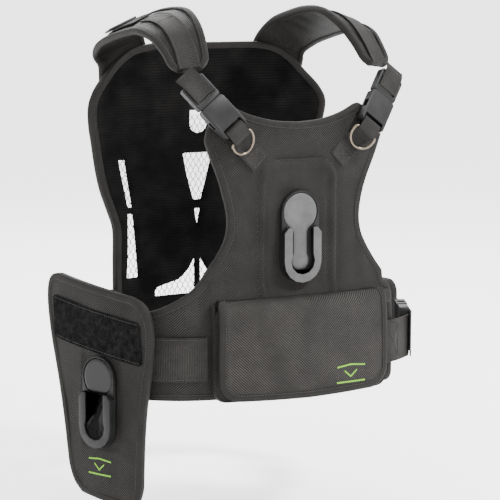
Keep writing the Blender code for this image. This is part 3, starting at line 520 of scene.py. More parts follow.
def panel(name, loop, lifts, finish, holes=(), relief=None, bend=worn, step=5.0, round_edge=0.0):
    """A cut panel between two lifts. relief(s, z, distance to the edge) adds to the outer face, in mm."""
    loops = [spaced(loop, step, True)] + [spaced(h, min(step, 3.0), True) for h in holes]
    low, high = loops[0].min(0), loops[0].max(0)
    columns, levels = np.arange(low[0], high[0], step), np.arange(low[1], high[1], step * 0.87)
    grid = np.stack(np.meshgrid(columns, levels), -1)
    grid[1::2, :, 0] += step / 2
    grid = grid.reshape(-1, 2)
    keep = inside(grid, loops[0])
    for hole in loops[1:]:
        keep &= ~inside(grid, hole)
    grid = grid[keep]
    grid = grid[edge_distance(grid, loops) > step * 0.45]
    points = np.vstack(loops + [grid])
    edges, start = [], 0
    for loop_points in loops:
        count = len(loop_points)
        edges += [(start + k, start + (k + 1) % count) for k in range(count)]
        start += count
    found = delaunay_2d_cdt([Vector(p) for p in points], edges, [], 0, 1e-6)
    flat = np.array([tuple(v) for v in found[0]])
    tris = np.array([t for t in found[2] if len(t) == 3])
    middle = flat[tris].mean(1)
    good = inside(middle, loops[0])
    for hole in loops[1:]:
        good &= ~inside(middle, hole)
    tris = tris[good]
    a, b, c = (flat[tris[:, k]] for k in range(3))
    turn = (b[:, 0] - a[:, 0]) * (c[:, 1] - a[:, 1]) - (b[:, 1] - a[:, 1]) * (c[:, 0] - a[:, 0])
    tris[turn < 0] = tris[turn < 0][:, ::-1]
    distance = edge_distance(flat, loops)
    top = np.full(len(flat), float(lifts[1]))
    bottom = np.full(len(flat), float(lifts[0]))
    if relief:
        top = top + relief(flat[:, 0], flat[:, 1], distance)
    if round_edge:
        share = np.clip((round_edge - distance) / round_edge, 0, 1)
        drop = (1 - np.sqrt(np.clip(1 - share**2, 0, 1))) * 0.9
        half = (lifts[1] - lifts[0]) / 2
        top, bottom = top - drop * half, bottom + drop * half
    count = len(flat)
    rims = {(t[k], t[(k + 1) % 3]): True for t in tris for k in range(3)}
    walls = [(one + count, two + count, two, one) for one, two in rims if (two, one) not in rims]
    faces = [tuple(t) for t in tris] + [tuple(k + count for k in t[::-1]) for t in tris]
    faces += [w[::-1] for w in walls]
    verts = np.vstack((bend(np.column_stack((flat, top))), bend(np.column_stack((flat, bottom)))))
    return piece(name, verts, faces, finish, np.vstack((flat, flat)) * MM)


def swept(name, sections, finish, closed=False):
    """A skin through sections, an array (count, points, 3) in metres; each section is a closed loop."""
    count, width = sections.shape[:2]
    verts = sections.reshape(-1, 3)
    faces = []
    for n in range(count if closed else count - 1):
        m = (n + 1) % count
        for k in range(width):
            j = (k + 1) % width
            faces.append((n * width + k, n * width + j, m * width + j, m * width + k))
    if not closed:
        faces.append(tuple(range(width))[::-1])
        faces.append(tuple((count - 1) * width + k for k in range(width)))
    across = run_of(np.vstack((sections[0], sections[0][:1])))[1:]
    uv = np.array([(a, w) for a in run_of(sections.mean(1)) for w in across])
    made = piece(name, verts, faces, finish, uv)
    face_out(made)
    return made


def face_out(made):
    """Turns a closed mesh's faces outwards."""
    mesh = made.data
    mesh.calc_loop_triangles()
    co = np.array([v.co for v in mesh.vertices])
    tri = np.array([t.vertices for t in mesh.loop_triangles])
    a, b, c = (co[tri[:, k]] for k in range(3))
    if np.einsum("ij,ij->i", a, np.cross(b, c)).sum() < 0:
        mesh.flip_normals()


def binding(name, node, line, lifts, closed=False, bend=worn, inward=1.0, body="root"):
    """Tape folded round an edge: its cross-section is a rounded U, swept along the edge."""
    line, width = spaced(line, 4.0, closed), BINDING_WIDTH
    across = sideways(line, closed) * inward
    low, high = lifts
    middle = (low + high) / 2
    section = [(width, high + 0.1), (width - 0.5, high + 0.75), (width / 2, high + 0.95), (1.6, high + 0.8),
               (0.3, high + 0.1), (-0.35, middle + 0.25 * (high - low)), (-0.45, middle),
               (-0.35, middle - 0.25 * (high - low)), (0.3, low - 0.1), (1.6, low - 0.7),
               (width / 2, low - 0.8),
               (width - 0.5, low - 0.7), (width, low - 0.1), (width - 0.6, low), (width - 0.6, high)]
    rng = np.random.default_rng(len(line))
    wave = np.convolve(rng.normal(0, 1, len(line) + 8), np.hanning(9) / 4, mode="same")[4:-4] * 0.22
    rows = []
    for n in range(len(line)):
        rows += [(*(line[n] + across[n] * (a + wave[n] * (a > 4))), lift) for a, lift in section]
    sections = bend(np.array(rows)).reshape(len(line), len(section), 3)
    made = swept(name, sections, BINDING, closed)
    seam = moved(line, inward * (width - 1.5), closed)
    STITCHES.append((np.column_stack((seam, np.full(len(seam), high + 0.95))), bend, closed, body))
    return dressed(made, body, "binding", node)


def box_placed(mesh):
    """Gives a mesh a flat place by the side that each face looks to."""
    layer = mesh.uv_layers.new(name="cut")
    for face in mesh.polygons:
        size = [abs(c) for c in face.normal]
        drop = size.index(max(size))
        keep = [k for k in (0, 1, 2) if k != drop]
        for loop in face.loop_indices:
            point = mesh.vertices[mesh.loops[loop].vertex_index].co
            layer.data[loop].uv = (point[keep[0]], point[keep[1]])


def refined(name, node, body, slot, finish, bevel, shown=None):
    """A copy of a solid, merged, with its sharp edges rounded by bevel mm, standing for the solid.

    shown is (origin, facing, height, top finish): faces above that height that look along facing get the top
    finish.
    """
    source = bpy.data.objects[node]
    work = bmesh.new()
    work.from_mesh(source.data)
    work.transform(source.matrix_world)
    bmesh.ops.remove_doubles(work, verts=work.verts, dist=0.00002)
    bmesh.ops.dissolve_limit(work, angle_limit=math.radians(2), verts=work.verts, edges=work.edges)
    mesh = bpy.data.meshes.new(name)
    work.to_mesh(mesh)
    work.free()
    made = linked(name, mesh)
    edge = made.modifiers.new("round", "BEVEL")
    edge.width = bevel * MM
    edge.segments = 3
    edge.limit_method = "ANGLE"
    edge.angle_limit = math.radians(32)
    edge.use_clamp_overlap = True
    rounded = settled(made)
    made.modifiers.clear()
    made.data = rounded
    rounded.materials.clear()
    rounded.materials.append(finish)
    while rounded.uv_layers:
        rounded.uv_layers.remove(rounded.uv_layers[0])
    box_placed(rounded)
    # Faces above the height that look along facing take the top finish and the rest the side finish; on the
    # chest keyhole that is a painted lit top over painted shade on the sides.
    if shown:
        origin, facing, height, top = shown
        rounded.materials.append(top)
        for face in rounded.polygons:
            level = (face.center / MM - origin).dot(facing)
            face.material_index = int(level > height and face.normal.dot(facing) > 0.3)
    rounded.shade_smooth()
    rounded.set_sharp_from_angle(angle=math.radians(42))
    return dressed(made, body, slot, node)


STITCHES = []
BINDING_WIDTH = 8.0
print("cutting tools ready")

# %% [markdown]
# ## The front panel
# Chest and wings are one cut of nylon over foam. The edge runs from the left seam with the back, over the
# neck, round the free end by the waist buckle, and back along the foot. The foam makes the cloth swell a
# little between seams, which is what catches the light, so the relief rises with the distance from the
# edge.

# %% The front edge
WING_END = -(BACK - 118.3)
BUCKLE_GAP = (128.0, 262.0)
WING_LOW, WING_TOP = -42.0, 50.0
NECKLINE = ((0, 264), (30, 266.5), (58, 273.5), (80, 283))
SHOULDER_CORNER = ((80, 283), (97, 273), (108, 261), (112, 246))
FLANK = ((112, 246), (105, 227), (92, 195), (84, 163), (85, 140), (93, 122), (106, 103), (120, 84), (139, 71),
         (163, 60))


def free_end(s, low, high, radius=16.0):
    angles = np.radians(np.linspace(90, 0, 6))
    top = np.column_stack((s - radius + radius * np.cos(angles), high - radius + radius * np.sin(angles)))
    foot = np.column_stack((top[::-1, 0], low + high - top[::-1, 1]))
    return np.vstack((top, foot))


neck_edge = np.vstack((curve_through(NECKLINE)[:-1], curve_through(SHOULDER_CORNER)[:-1]))
long_edge = (np.vstack((neck_edge, curve_through(FLANK))) * (-1, 1))[::-1][:-1]
short_edge = np.vstack((neck_edge, curve_through(FLANK[:7] + ((119, 87),))))
wing_edge = [(WING_END, WING_TOP), (-215, WING_TOP), (-190, 52)]
FRONT_EDGE = np.vstack((wing_edge, long_edge, short_edge, free_end(BUCKLE_GAP[0], WING_LOW, 76, 10.0),
                        [(WING_END, WING_LOW)]))
FRONT_EDGE = spaced(FRONT_EDGE, 4.0)
print("front edge:", len(FRONT_EDGE), "points")

# %% The front panel


def swell(amount, reach):
    """Relief of a foam panel that is held down along its edge."""
    return lambda s, z, d: amount * (1 - np.exp(-d / reach)) - 0.3 * np.exp(-(((d - 1.0) / 1.5) ** 2))


def rumple(s, z, size, seed=0.0):
    """Soft uneven folds, in mm."""
    broad = np.sin(s / 23 + z / 41 + seed) * np.sin(z / 31 - s / 57 + seed * 2)
    return size * (broad + 0.5 * np.sin(s / 11 - z / 17 + seed))


CHANNEL_HALF, CHANNEL_TOP, CHANNEL_WIDTH = 50.0, 223.0, 11.0


def channel_line(inset=0.0):
    """The arch sewn round the keyhole, from the pocket up, over and down again."""
    half, top, radius = CHANNEL_HALF - inset, CHANNEL_TOP - inset, 24.0 - inset * 0.6
    angles = np.radians(np.linspace(180, 90, 8))
    left = np.column_stack((radius - half + radius * np.cos(angles), top - radius + radius * np.sin(angles)))
    left = np.vstack(([(-half, 72), (-half, 120), (-half, 160)], left))
    return np.vstack((left, (left * (-1, 1))[::-1]))


def chest_relief(s, z, d):
    base = swell(1.5, 9.0)(s, z, d) + rumple(s, z, 0.32)
    arch = channel_line()
    closed_arch = np.vstack((arch, [(CHANNEL_HALF, 40), (-CHANNEL_HALF, 40)]))
    points = np.column_stack((s, z))
    near = edge_distance(points, [closed_arch])
    within = inside(points, closed_arch)
    ridge = np.where(within, np.clip(near / CHANNEL_WIDTH, 0, 1), 0)
    tube = 3.6 * np.sin(np.pi * ridge) ** 0.7 * within * (z > 60)
    plateau = 0.9 * within * (near > CHANNEL_WIDTH) * (z > 60)
    seam = -1.3 * np.exp(-((near / 1.8) ** 2)) * (z > 60)
    seam = seam - 1.1 * np.exp(-(((near - CHANNEL_WIDTH) / 1.6) ** 2)) * within
    keyhole = (np.abs(s) < 30) & (z > 78) & (z < 190)
    calm = np.where(keyhole, 0.0, 1.0)
    flat_part = np.clip(base, -1, 1.6) * calm + 0.9 * (1 - calm)
    return flat_part + tube + plateau * 0.6 + seam


front_cut = moved(FRONT_EDGE, -1.0)
front_cut[0], front_cut[-1] = (WING_END, WING_TOP - 1), (WING_END, WING_LOW + 1)
front = panel("front_cloth", front_cut, (1.2, 10.0), NYLON, relief=chest_relief, step=4.0)
dressed(front, "root", "nylon", "front_shell", "front_foam", "chest_facing")
binding("front_edge_tape", "front_binding", FRONT_EDGE, (1.0, 10.4), inward=-1.0)
print("front panel:", len(front.data.polygons), "faces")

# %% The left rear wing
wing_line = free_end(-BUCKLE_GAP[1], WING_LOW, 54)[::-1] * (-1, 1)
wing_line = spaced(np.vstack(([(-WING_END, WING_LOW)], wing_line, [(-WING_END, WING_TOP)])), 4.0)
wing_cut = moved(wing_line, -1.0)
wing_cut[0], wing_cut[-1] = (-WING_END, WING_LOW + 1), (-WING_END, WING_TOP - 1)
wing = panel("rear_wing_cloth", wing_cut, (1.2, 10.0), NYLON, relief=swell(0.9, 7.0), step=5.0)
dressed(wing, "root", "nylon", "left_wing_shell", "left_wing_foam")
binding("rear_wing_tape", "left_wing_binding", wing_line, (1.0, 10.4), inward=-1.0)
print("rear wing:", len(wing.data.polygons), "faces")

# %% [markdown]
# ## The back panel
# The back is a thick spacer-mesh pad with shaped windows, so air passes between the wearer and an open net
# behind. The pad's edges are rounded where the windows were hot-cut. The net is real cords, because light
# comes through.

# %% The spacer pad
BACK_EDGE = ((0, 345), (70, 345), (96, 340), (118, 327), (137, 308), (154, 290), (163, 272), (161, 250),
             (155, 230),
             (147, 200), (138, 172), (126, 145), (118, 122), (118, 84))
back_half = np.vstack((curve_through(BACK_EDGE[1:]), [(118, 60), (118, WING_LOW)]))
BACK_LOOP = np.vstack(((back_half * (-1, 1))[::-1], back_half))[::-1] + (BACK, 0)
BACK_LOOP = spaced(BACK_LOOP, 4.0, True)


def on_back(points):
    return np.asarray(points, float) + (BACK, 0)


foot_arc = [(12 * math.sin(a), 246 - 12 * math.cos(a)) for a in np.radians((-60, -30, 0, 30, 60))]
windows = [on_back([(-12, 290), (-12, 246)] + foot_arc + [(12, 246), (12, 290)]),
           on_back([(-20, 210), (-13, 180), (-5, 152), (5, 152), (13, 180), (20, 210)])]
windows.append(on_back([(-4, 141), (0, 121), (4, 141)]))
for side in (-1, 1):
    strip = [(112, 206), (103, 206), (98, 180), (92, 148), (98, 148), (105, 178)]
    lower = [(98, 140), (91, 140), (87, 100), (84, 62), (100, 62), (98, 100)]
    lobe = [(4, 36), (60, 36), (58, 46), (44, 50), (26, 54), (12, 66), (4, 80)]
    windows += [on_back([(side * s, z) for s, z in points]) for points in (strip, lower, lobe)]


def pad_relief(s, z, d):
    return rumple(s, z, 0.5, 2.0) * np.clip(d / 12, 0, 1)


pad = panel("back_spacer_pad", moved(BACK_LOOP, 2.0, True), (0.6, 7.6), SPACER, windows, pad_relief, step=5.0,
            round_edge=3.0)
dressed(pad, "root", "air_mesh", "back_pad")
binding("back_edge_tape", "back_binding", BACK_LOOP, (0.8, 8.6), closed=True)
print("spacer pad:", len(pad.data.polygons), "faces")

# %% The yoke, the band and the net
upper = BACK_LOOP[BACK_LOOP[:, 1] > 262]
upper = upper[np.argsort(-upper[:, 0])]
crown = np.column_stack((upper[:, 0] - np.sign(upper[:, 0] - BACK) * 6, np.minimum(upper[:, 1], 339)))
yoke_cut = np.vstack(([(upper[0, 0] - 6, 262)], crown, [(upper[-1, 0] + 6, 262)]))
yoke = panel("back_yoke_cloth", yoke_cut, (8.0, 9.6), NYLON, relief=lambda s, z, d: rumple(s, z, 0.3, 1.0),
             step=6.0)
dressed(yoke, "root", "nylon", "back_yoke")
band = panel("back_belt_band", slot_loop(BACK - 109, BACK + 109, WING_LOW + 9, 32, 3), (9.2, 11.2), NYLON,
             relief=lambda s, z, d: rumple(s, z, 0.3, 4.0), step=6.0)
dressed(band, "root", "nylon", "back_band")


def grow_tree(name, inputs):
    """A Geometry Nodes tree with a geometry input and output and the named number inputs."""
    tree = bpy.data.node_groups.new(name, "GeometryNodeTree")
    tree.interface.new_socket("Geometry", in_out="INPUT", socket_type="NodeSocketGeometry")
    for key, kind in inputs:
        tree.interface.new_socket(key, in_out="INPUT", socket_type=kind)
    tree.interface.new_socket("Geometry", in_out="OUTPUT", socket_type="NodeSocketGeometry")
    return tree, tree.nodes.new("NodeGroupInput"), tree.nodes.new("NodeGroupOutput")


def baked(name, source, tree, values):
    """Runs a tree on an object and leaves one plain mesh, with no modifier on it."""
    modifier = source.modifiers.new("grow", "NODES")
    modifier.node_group = tree
    for item in tree.interface.items_tree:
        if item.in_out == "INPUT" and item.name in values:
            modifier[item.identifier] = values[item.name]
    source.update_tag()
    made = linked(name, settled(source))
    bpy.data.objects.remove(source)
    made.data.shade_smooth()
    return made


def cord_tree():
    """Edges into round cords."""
    tree, start, end = grow_tree("net_cords",
                                 [("Cord radius", "NodeSocketFloat"), ("Finish", "NodeSocketMaterial")])
    curve = tree.nodes.new("GeometryNodeMeshToCurve")
    ring = tree.nodes.new("GeometryNodeCurvePrimitiveCircle")
    ring.inputs["Resolution"].default_value = 5
    skin = tree.nodes.new("GeometryNodeCurveToMesh")
    paint = tree.nodes.new("GeometryNodeSetMaterial")
    link = tree.links.new
    link(start.outputs["Geometry"], curve.inputs[0])
    link(start.outputs["Cord radius"], ring.inputs["Radius"])
    link(curve.outputs[0], skin.inputs["Curve"])
    link(ring.outputs[0], skin.inputs["Profile Curve"])
    link(skin.outputs[0], paint.inputs["Geometry"])
    link(start.outputs["Finish"], paint.inputs["Material"])
    link(paint.outputs[0], end.inputs[0])
    return tree


def lines_mesh(name, lines):
    """Loose polylines, given in metres, as an edge mesh."""
    verts, edges = [], []
    for line in lines:
        edges += [(len(verts) + k, len(verts) + k + 1) for k in range(len(line) - 1)]
        verts += [tuple(p) for p in line]
    mesh = bpy.data.meshes.new(name)
    mesh.from_pydata(verts, edges, [])
    return linked(name, mesh)


def net_lines(loop, pitch=5.2, wave=0.8):
    """Two families of wavy diagonals, which knot where they touch, kept inside a loop."""
    low, high = loop.min(0), loop.max(0)
    lines = []
    for lean in (-1, 1):
        for start in np.arange(low[0] - (high[1] - low[1]), high[0] + (high[1] - low[1]), pitch * 1.414):
            z = np.arange(low[1], high[1], 2.6)
            s = start + lean * (z - low[1]) * 0.62 + wave * np.sin(z * math.pi / 4.2) * lean
            lift = 8.8 + 0.35 * lean * np.cos(z * math.pi / 4.2)
            keep = inside(np.column_stack((s, z)), loop)
            run = []
            for k, good in enumerate(keep):
                if good:
                    run.append((s[k], z[k], lift[k]))
                if (not good or k == len(keep) - 1) and len(run) > 2:
                    lines.append(worn(run))
                    run = []
                elif not good:
                    run = []
    return lines


net_region = moved(BACK_LOOP, 5.0, True)
net_region = np.column_stack((net_region[:, 0], np.clip(net_region[:, 1], WING_LOW + 5, 258)))
CORDS = cord_tree()
net = baked("back_net", lines_mesh("net_seed", net_lines(net_region)), CORDS,
            {"Cord radius": 0.00042, "Finish": NET_CORD})
dressed(net, "root", "open_mesh", "back_mesh")
print("net:", len(net.data.polygons), "faces")

# %% [markdown]
# ## Straps and webbing
# A strap is a section carried along rows. Each row has a place, the way out of the body and the way ahead,
# so the same tool makes a flat webbing, a crowned shoulder pad and the tape round the pad's two edges.

# %% Carrying a section along a strap
STITCH_PITCH, EMBROIDERY_PITCH = 3.2, 2.2


def rows_of(points, outward):
    """Frames along a line in mm: place, across and outward, one per point."""
    points, outward = np.asarray(points, float), np.asarray(outward, float)
    ahead = unit(np.gradient(points, axis=0))
    across = unit(np.cross(ahead, outward))
    return points, across, np.cross(across, ahead)


def part_of(rows, low, high):
    """The rows between two shares of a strap's length."""
    first, last = round(low * (len(rows[0]) - 1)), round(high * (len(rows[0]) - 1))
    return tuple(r[first:last + 1] for r in rows)


def carried(name, rows, section, finish):
    """Carries section(share), a loop of (across, lift) in mm, along the rows."""
    points, across, outward = rows
    count = len(points)
    sections = []
    for n in range(count):
        loop = section(n / (count - 1))
        sections.append([points[n] + across[n] * x + outward[n] * lift for x, lift in loop])
    return swept(name, np.array(sections) * MM, finish)


def tape_section(width, low, high):
    """A webbing's section, with a thicker selvage on each side."""
    half, middle = width / 2, (low + high) / 2
    return [(-half, middle), (-half + 0.3, high - 0.1), (-half + 1.5, high), (-half + 2.2, high - 0.3),
            (half - 2.2, high - 0.3), (half - 1.5, high), (half - 0.3, high - 0.1), (half, middle),
            (half - 0.4, low), (-half + 0.4, low)]


def webbing(name, rows, width, lifts, body, *nodes):
    made = carried(name, rows, lambda t: tape_section(width, *lifts), WEBBING)
    return dressed(made, body, "webbing", *nodes)


def belt_rows(low, high, level, lift, step=5.0):
    """Rows of a belt worn level round the waist."""
    s = np.linspace(low, high, max(2, round(abs(high - low) / step)) + 1)
    flat = np.column_stack((s, np.full(len(s), level), np.full(len(s), lift)))
    here = worn(flat) / MM
    out = worn(flat + (0, 0, 10)) / MM - here
    return rows_of(here, unit(out))


def sew(line, normals, body, pitch=STITCH_PITCH, thread=SEAM_THREAD):
    """Adds a seam: its line in metres and the way out of the cloth along it."""
    SEAMS.append((line, normals, body, pitch, thread.name))


def sew_cut(line, bend, body, pitch=STITCH_PITCH, thread=SEAM_THREAD):
    """Adds a seam along flat points, worn as the panel that it holds."""
    here = bend(line)
    sew(here, unit(bend(line + (0, 0, 5)) - here), body, pitch, thread)


def stitch_line(rows, low, high, level, lift, body):
    """Adds a stitched line along the rows, from share low to high, level mm across."""
    points, across, outward = part_of(rows, low, high)
    sew((points + across * level + outward * lift) * MM, outward, body)


def box_stitch(rows, low, high, half, lift, body):
    """A square of stitches with its diagonals across a strap."""
    points, across, outward = part_of(rows, low, high)
    for sign in (-1, 1):
        stitch_line(rows, low, high, sign * half, lift, body)
        stitch_line(rows, low, high, np.linspace(-half, half, len(points))[:, None] * sign, lift, body)
    for at in (0, -1):
        line = points[at] + np.linspace(-half, half, 8)[:, None] * across[at] + outward[at] * lift
        sew(line * MM, np.repeat(outward[at][None], 8, 0), body)


SEAMS = []
print("strap tools ready")

# %% The belt
rear_rows = belt_rows(-(ROUND - BUCKLE_GAP[1] - 3), -113.5, 5.0, 12.6)
webbing("belt_webbing", rear_rows, 50.0, (0.0, 1.8), "root", "belt_web")
hook = panel("belt_hook_strip", slot_loop(-160, -118, -20, 30, 2), (10.4, 11.5), HOOK_TAPE, step=3.0)
dressed(hook, "root", "fastener_tape", "belt_hook_tape")
tab = panel("side_webbing_tab", slot_loop(108, 126, 50, 66, 2.5), (11.2, 13.6), WEBBING, step=3.0,
            round_edge=1.0)
dressed(tab, "root", "webbing", "side_tab")


def axes(origin, x, y, z):
    made = Matrix((x, y, z)).transposed().to_4x4()
    made.translation = origin
    return made


def buckle_axes(origin, along, facing):
    """X across, Y along from the bar to the webbing, Z outwards."""
    along = along.normalized()
    facing = (facing - along * facing.dot(along)).normalized()
    return axes(origin, along.cross(facing), along, facing)


WAIST_TURN, WAIST_SOCKET, WAIST_PLUG = math.radians(64), 36.0, 26.0
waist_out = Vector((math.sin(WAIST_TURN), -math.cos(WAIST_TURN), 0))
waist_along = Vector((-math.cos(WAIST_TURN), -math.sin(WAIST_TURN), 0))
waist_foot = Vector((SIDE_CENTRE, 0, 5)) + waist_out * (SIDE_ARC[0] - 1) - waist_along * (WAIST_SOCKET - 4)
waist_place = buckle_axes(waist_foot, waist_along, waist_out)
mouth = WAIST_SOCKET + 0.3
plug_line = curve_through([waist_place @ Vector((0, mouth + v, lift))
                           for v, lift in ((11, 6.2), (28, 6.2), (42, 4.6), (58, 2.4))])
plug_rows = rows_of(plug_line, np.repeat([tuple(waist_out)], len(plug_line), 0))
webbing("waist_webbing_end", plug_rows, 50.0, (0.0, 1.8), "waist_plug", "waist_plug_web")
start = worn([(113.5, 5, 14.0), (130, 5, 14.0)]) / MM
taut = curve_through([start[0], start[1], tuple(waist_place @ Vector((0, mouth + WAIST_PLUG + 26.5, 0)))],
                     4.0)
turn = np.linspace(0, 1, len(taut))[:, None]
front_rows = rows_of(taut, np.array([0.24, -0.97, 0]) * (1 - turn) + np.array([0.66, -0.75, 0]) * turn)
webbing("front_belt_webbing", front_rows, 50.0, (0.0, 1.8), "root", "belt_web_front")
box_stitch(front_rows, 0.1, 0.5, 20.0, 1.7, "root")
stitch_line(rear_rows, 0.0, 1.0, 22.5, 1.8, "root")
stitch_line(rear_rows, 0.0, 1.0, -22.5, 1.8, "root")
print("belt ready")

# %% Shoulder straps


def strap_line(side):
    """Rows of a strap's outer face, from the back panel over the shoulder to the buckle."""
    behind = np.array([(BACK - s, z, 17.0) for s, z in ((98, 266), (100, 298), (103, 326))])
    here = worn(behind) / MM
    out = worn(behind + (0, 0, 10)) / MM - here
    out[:, 2] = 0.8
    over = ((112, 116, 345), (119, 95, 360), (121, 62, 369), (120, 22, 376), (119, -20, 378), (119, -54, 367),
            (120, -80, 347), (122, -97, 326))
    facing = ((0.20, 0.85, 0.50), (0.38, 0.55, 0.75), (0.42, 0.25, 0.88), (0.40, 0.06, 0.91),
              (0.34, -0.12, 0.93),
              (0.30, -0.45, 0.84), (0.30, -0.72, 0.62), (0.30, -0.84, 0.46))
    points = np.vstack((here, over))
    outward = np.vstack((unit(out), facing))
    both = curve_through(np.hstack((points, outward * 0.01)), 5.0)
    return rows_of(both[:, :3] * (side, 1, 1), both[:, 3:] * 100 * (side, 1, 1))


def pad_width(share):
    width = 70 - 26 * max(0.0, share - 0.72) / 0.28
    tip = max(0.0, share - 0.965) / 0.035
    return width - 14 * tip**2


def pad_section(share):
    """A quilted pad: crowned, held down along two seams."""
    half = pad_width(share) / 2 - 1.0
    x = np.linspace(-half, half, 23)
    crown = 1.0 * (1 - (x / half) ** 4) + 0.5 * np.cos(x / half * math.pi * 1.5) + 0.25 * math.sin(share * 41)
    return [(a, -1.0 + c) for a, c in zip(x, crown)] + [(a, -6.6 - 0.5 * c) for a, c in zip(x[::-1], crown)]


def pad_tape_section(side):
    def section(share):
        half = pad_width(share) / 2
        loop = [(half - 8, 0.3), (half - 7.4, 0.8), (half - 4, 0.9), (half - 1.4, 0.5), (half - 0.1, -1.6),
                (half + 0.1, -3.5), (half - 0.1, -5.4), (half - 1.4, -7.2), (half - 4, -7.6),
                (half - 7.4, -7.4),
                (half - 8, -7.0), (half - 7.2, -6.6), (half - 7.2, -0.4)]
        return [(a * side, b) for a, b in loop]
    return section


SHOULDER_SOCKET, SHOULDER_PLUG = 42.0, 31.0
for side, word in ((1, "left"), (-1, "right")):
    rows = strap_line(side)
    strap_pad = carried(f"shoulder_pad_{word}", rows, pad_section, NYLON)
    dressed(strap_pad, "root", "nylon", f"strap_pad_{word}")
    for edge_name, sign in (("outer", 1), ("inner", -1)):
        tape = carried(f"shoulder_tape_{edge_name}_{word}", rows, pad_tape_section(sign), BINDING)
        dressed(tape, "root", "binding")
        last = len(rows[0]) - 1
        level = np.array([(pad_width(k / last) / 2 - 6.4) * sign for k in range(last + 1)])[:, None]
        stitch_line(rows, 0.0, 1.0, level, 0.95, "root")
    top = part_of(rows, 0.60, 1.0)
    webbing(f"shoulder_webbing_{word}", top, 25.0, (0.6, 2.3), "root", f"strap_web_{word}")
    box_stitch(top, 0.03, 0.30, 9.5, 2.15, "root")
    stitch_line(top, 0.3, 1.0, 10.4, 2.15, "root")
    stitch_line(top, 0.3, 1.0, -10.4, 2.15, "root")
    rear = part_of(rows, 0.10, 0.55)
    webbing(f"rear_webbing_{word}", rear, 30.0, (1.2, 2.9), "root", f"strap_rear_web_{word}")
    box_stitch(rear, 0.80, 0.97, 12.0, 2.75, "root")

    foot = Vector((85.5 * side, -135.0, 257.5))
    along = Vector((34.0 * side, 19.0, 42.0))
    place = buckle_axes(foot, along, Vector((0.16 * side, -0.95, 0.28)))
    mouth = SHOULDER_SOCKET + 0.3
    web = curve_through([tuple(place @ Vector((0, mouth + v, lift)))
                         for v, lift in ((8, 5.0), (31, 5.0), (36, 3.4), (42, 0.6))], 3.0)
    facing = np.repeat([tuple(place.col[2].to_3d())], len(web), 0)
    webbing(f"plug_webbing_{word}", rows_of(web, facing), 25.0, (0.0, 1.6), f"shoulder_plug_{word}",
            f"plug_web_{word}")

    pivot = place @ Vector((0, -8.5, -0.5))
    across = place.col[0].to_3d()
    seat = worn([(64, 236, 18.6)])[0] / MM * (side, 1, 1)
    hang = pivot - Vector(seat)
    hang = (hang - across * hang.dot(across)).normalized()
    ring_place = axes(pivot, across, hang, across.cross(hang))
    corner = np.radians(np.linspace(0, 90, 7))
    bow = np.radians(np.linspace(0, 180, 33))
    wire = np.vstack((np.column_stack((11.8 + 3 * np.sin(corner), 3 * np.cos(corner) - 3)),
                      np.column_stack((14.8 * np.cos(bow), -6 - 14.8 * np.sin(bow))),
                      np.column_stack((-11.8 - 3 * np.sin(corner[::-1]), 3 * np.cos(corner[::-1]) - 3))))
    wire = spaced(wire, 1.6, True)
    out = -sideways(wire, True)
    round_about = np.radians(np.arange(0, 360, 30))
    sections = [[tuple(ring_place @ Vector((x + ox * 1.6 * math.cos(b), y + oy * 1.6 * math.cos(b),
                                            1.6 * math.sin(b))))
                 for b in round_about] for (x, y), (ox, oy) in zip(wire, out)]
    ring = swept(f"ring_wire_{word}", np.array(sections) * MM, RING_METAL, closed=True)
    dressed(ring, f"chest_ring_{word}", "ring_metal", f"chest_ring_{word}")

    bar = place @ Vector((0, 2.2, 0))
    up = (bar - pivot).normalized()
    front_way = across.cross(up)
    reach = (bar - pivot).length
    sewn = worn([(48, 220, 12.6), (61, 233, 12.6), (70, 242, 12.8)]) / MM * (side, 1, 1)
    fold = [tuple(p) for p in sewn] + [tuple(pivot - front_way * 3.0 - up * 0.5)]
    loop = [(reach * 0.5, -3.6), (reach, -5.0), (reach + 3.6, -3.6), (reach + 5.0, 0), (reach + 3.6, 3.6),
            (reach, 5.0),
            (reach * 0.5, 4.0), (0.0, 3.0), (-2.4, 1.9), (-3.2, 0.0)]
    fold += [tuple(pivot + up * a + front_way * b) for a, b in loop]
    normal = [tuple(front_way)] * 4
    normal += [tuple(up * (a - min(max(a, 0.0), reach)) + front_way * b) for a, b in loop]
    lean = np.array(worn([(61, 233, 22.6)])[0] / MM * (side, 1, 1)) - sewn[1]
    normal = unit(np.array(normal))
    normal[:3] = lean / np.linalg.norm(lean)
    normal[4:] = -normal[4:]
    both = curve_through(np.hstack((np.array(fold), normal * 0.01)), 2.0)
    points = both[:, :3]
    ahead = np.gradient(points, axis=0)
    width_way = np.repeat([tuple(across)], len(points), 0)
    tail = np.clip(np.arange(len(points)) / 16.0, 0, 1)[:, None]
    first_way = np.cross(ahead[0] / np.linalg.norm(ahead[0]), normal[0])
    first_way *= np.sign(np.dot(first_way, width_way[0]))
    width_way = first_way * (1 - tail) + width_way * tail
    width_way = unit(width_way)
    outward = unit(np.cross(width_way, ahead))
    webbing(f"ring_webbing_{word}", (points, width_way, outward), 24.4, (-0.7, 0.7), "root",
            f"ring_tab_{word}")
    flat_rows = tuple(r[:9] for r in (points, width_way, outward))
    if np.dot(outward[2], lean) < 0:
        flat_rows = (flat_rows[0], flat_rows[1], -flat_rows[2])
    box_stitch(flat_rows, 0.12, 1.0, 9.0, 0.75, "root")
print("straps ready")

# %% [markdown]
# ## The pocket and its flap
# The pocket is a pouch with its own depth. The flap is one cut that rolls over the pocket's mouth, so its
# top is a fold of a real radius and not an edge: the cut keeps its length while it bends back.

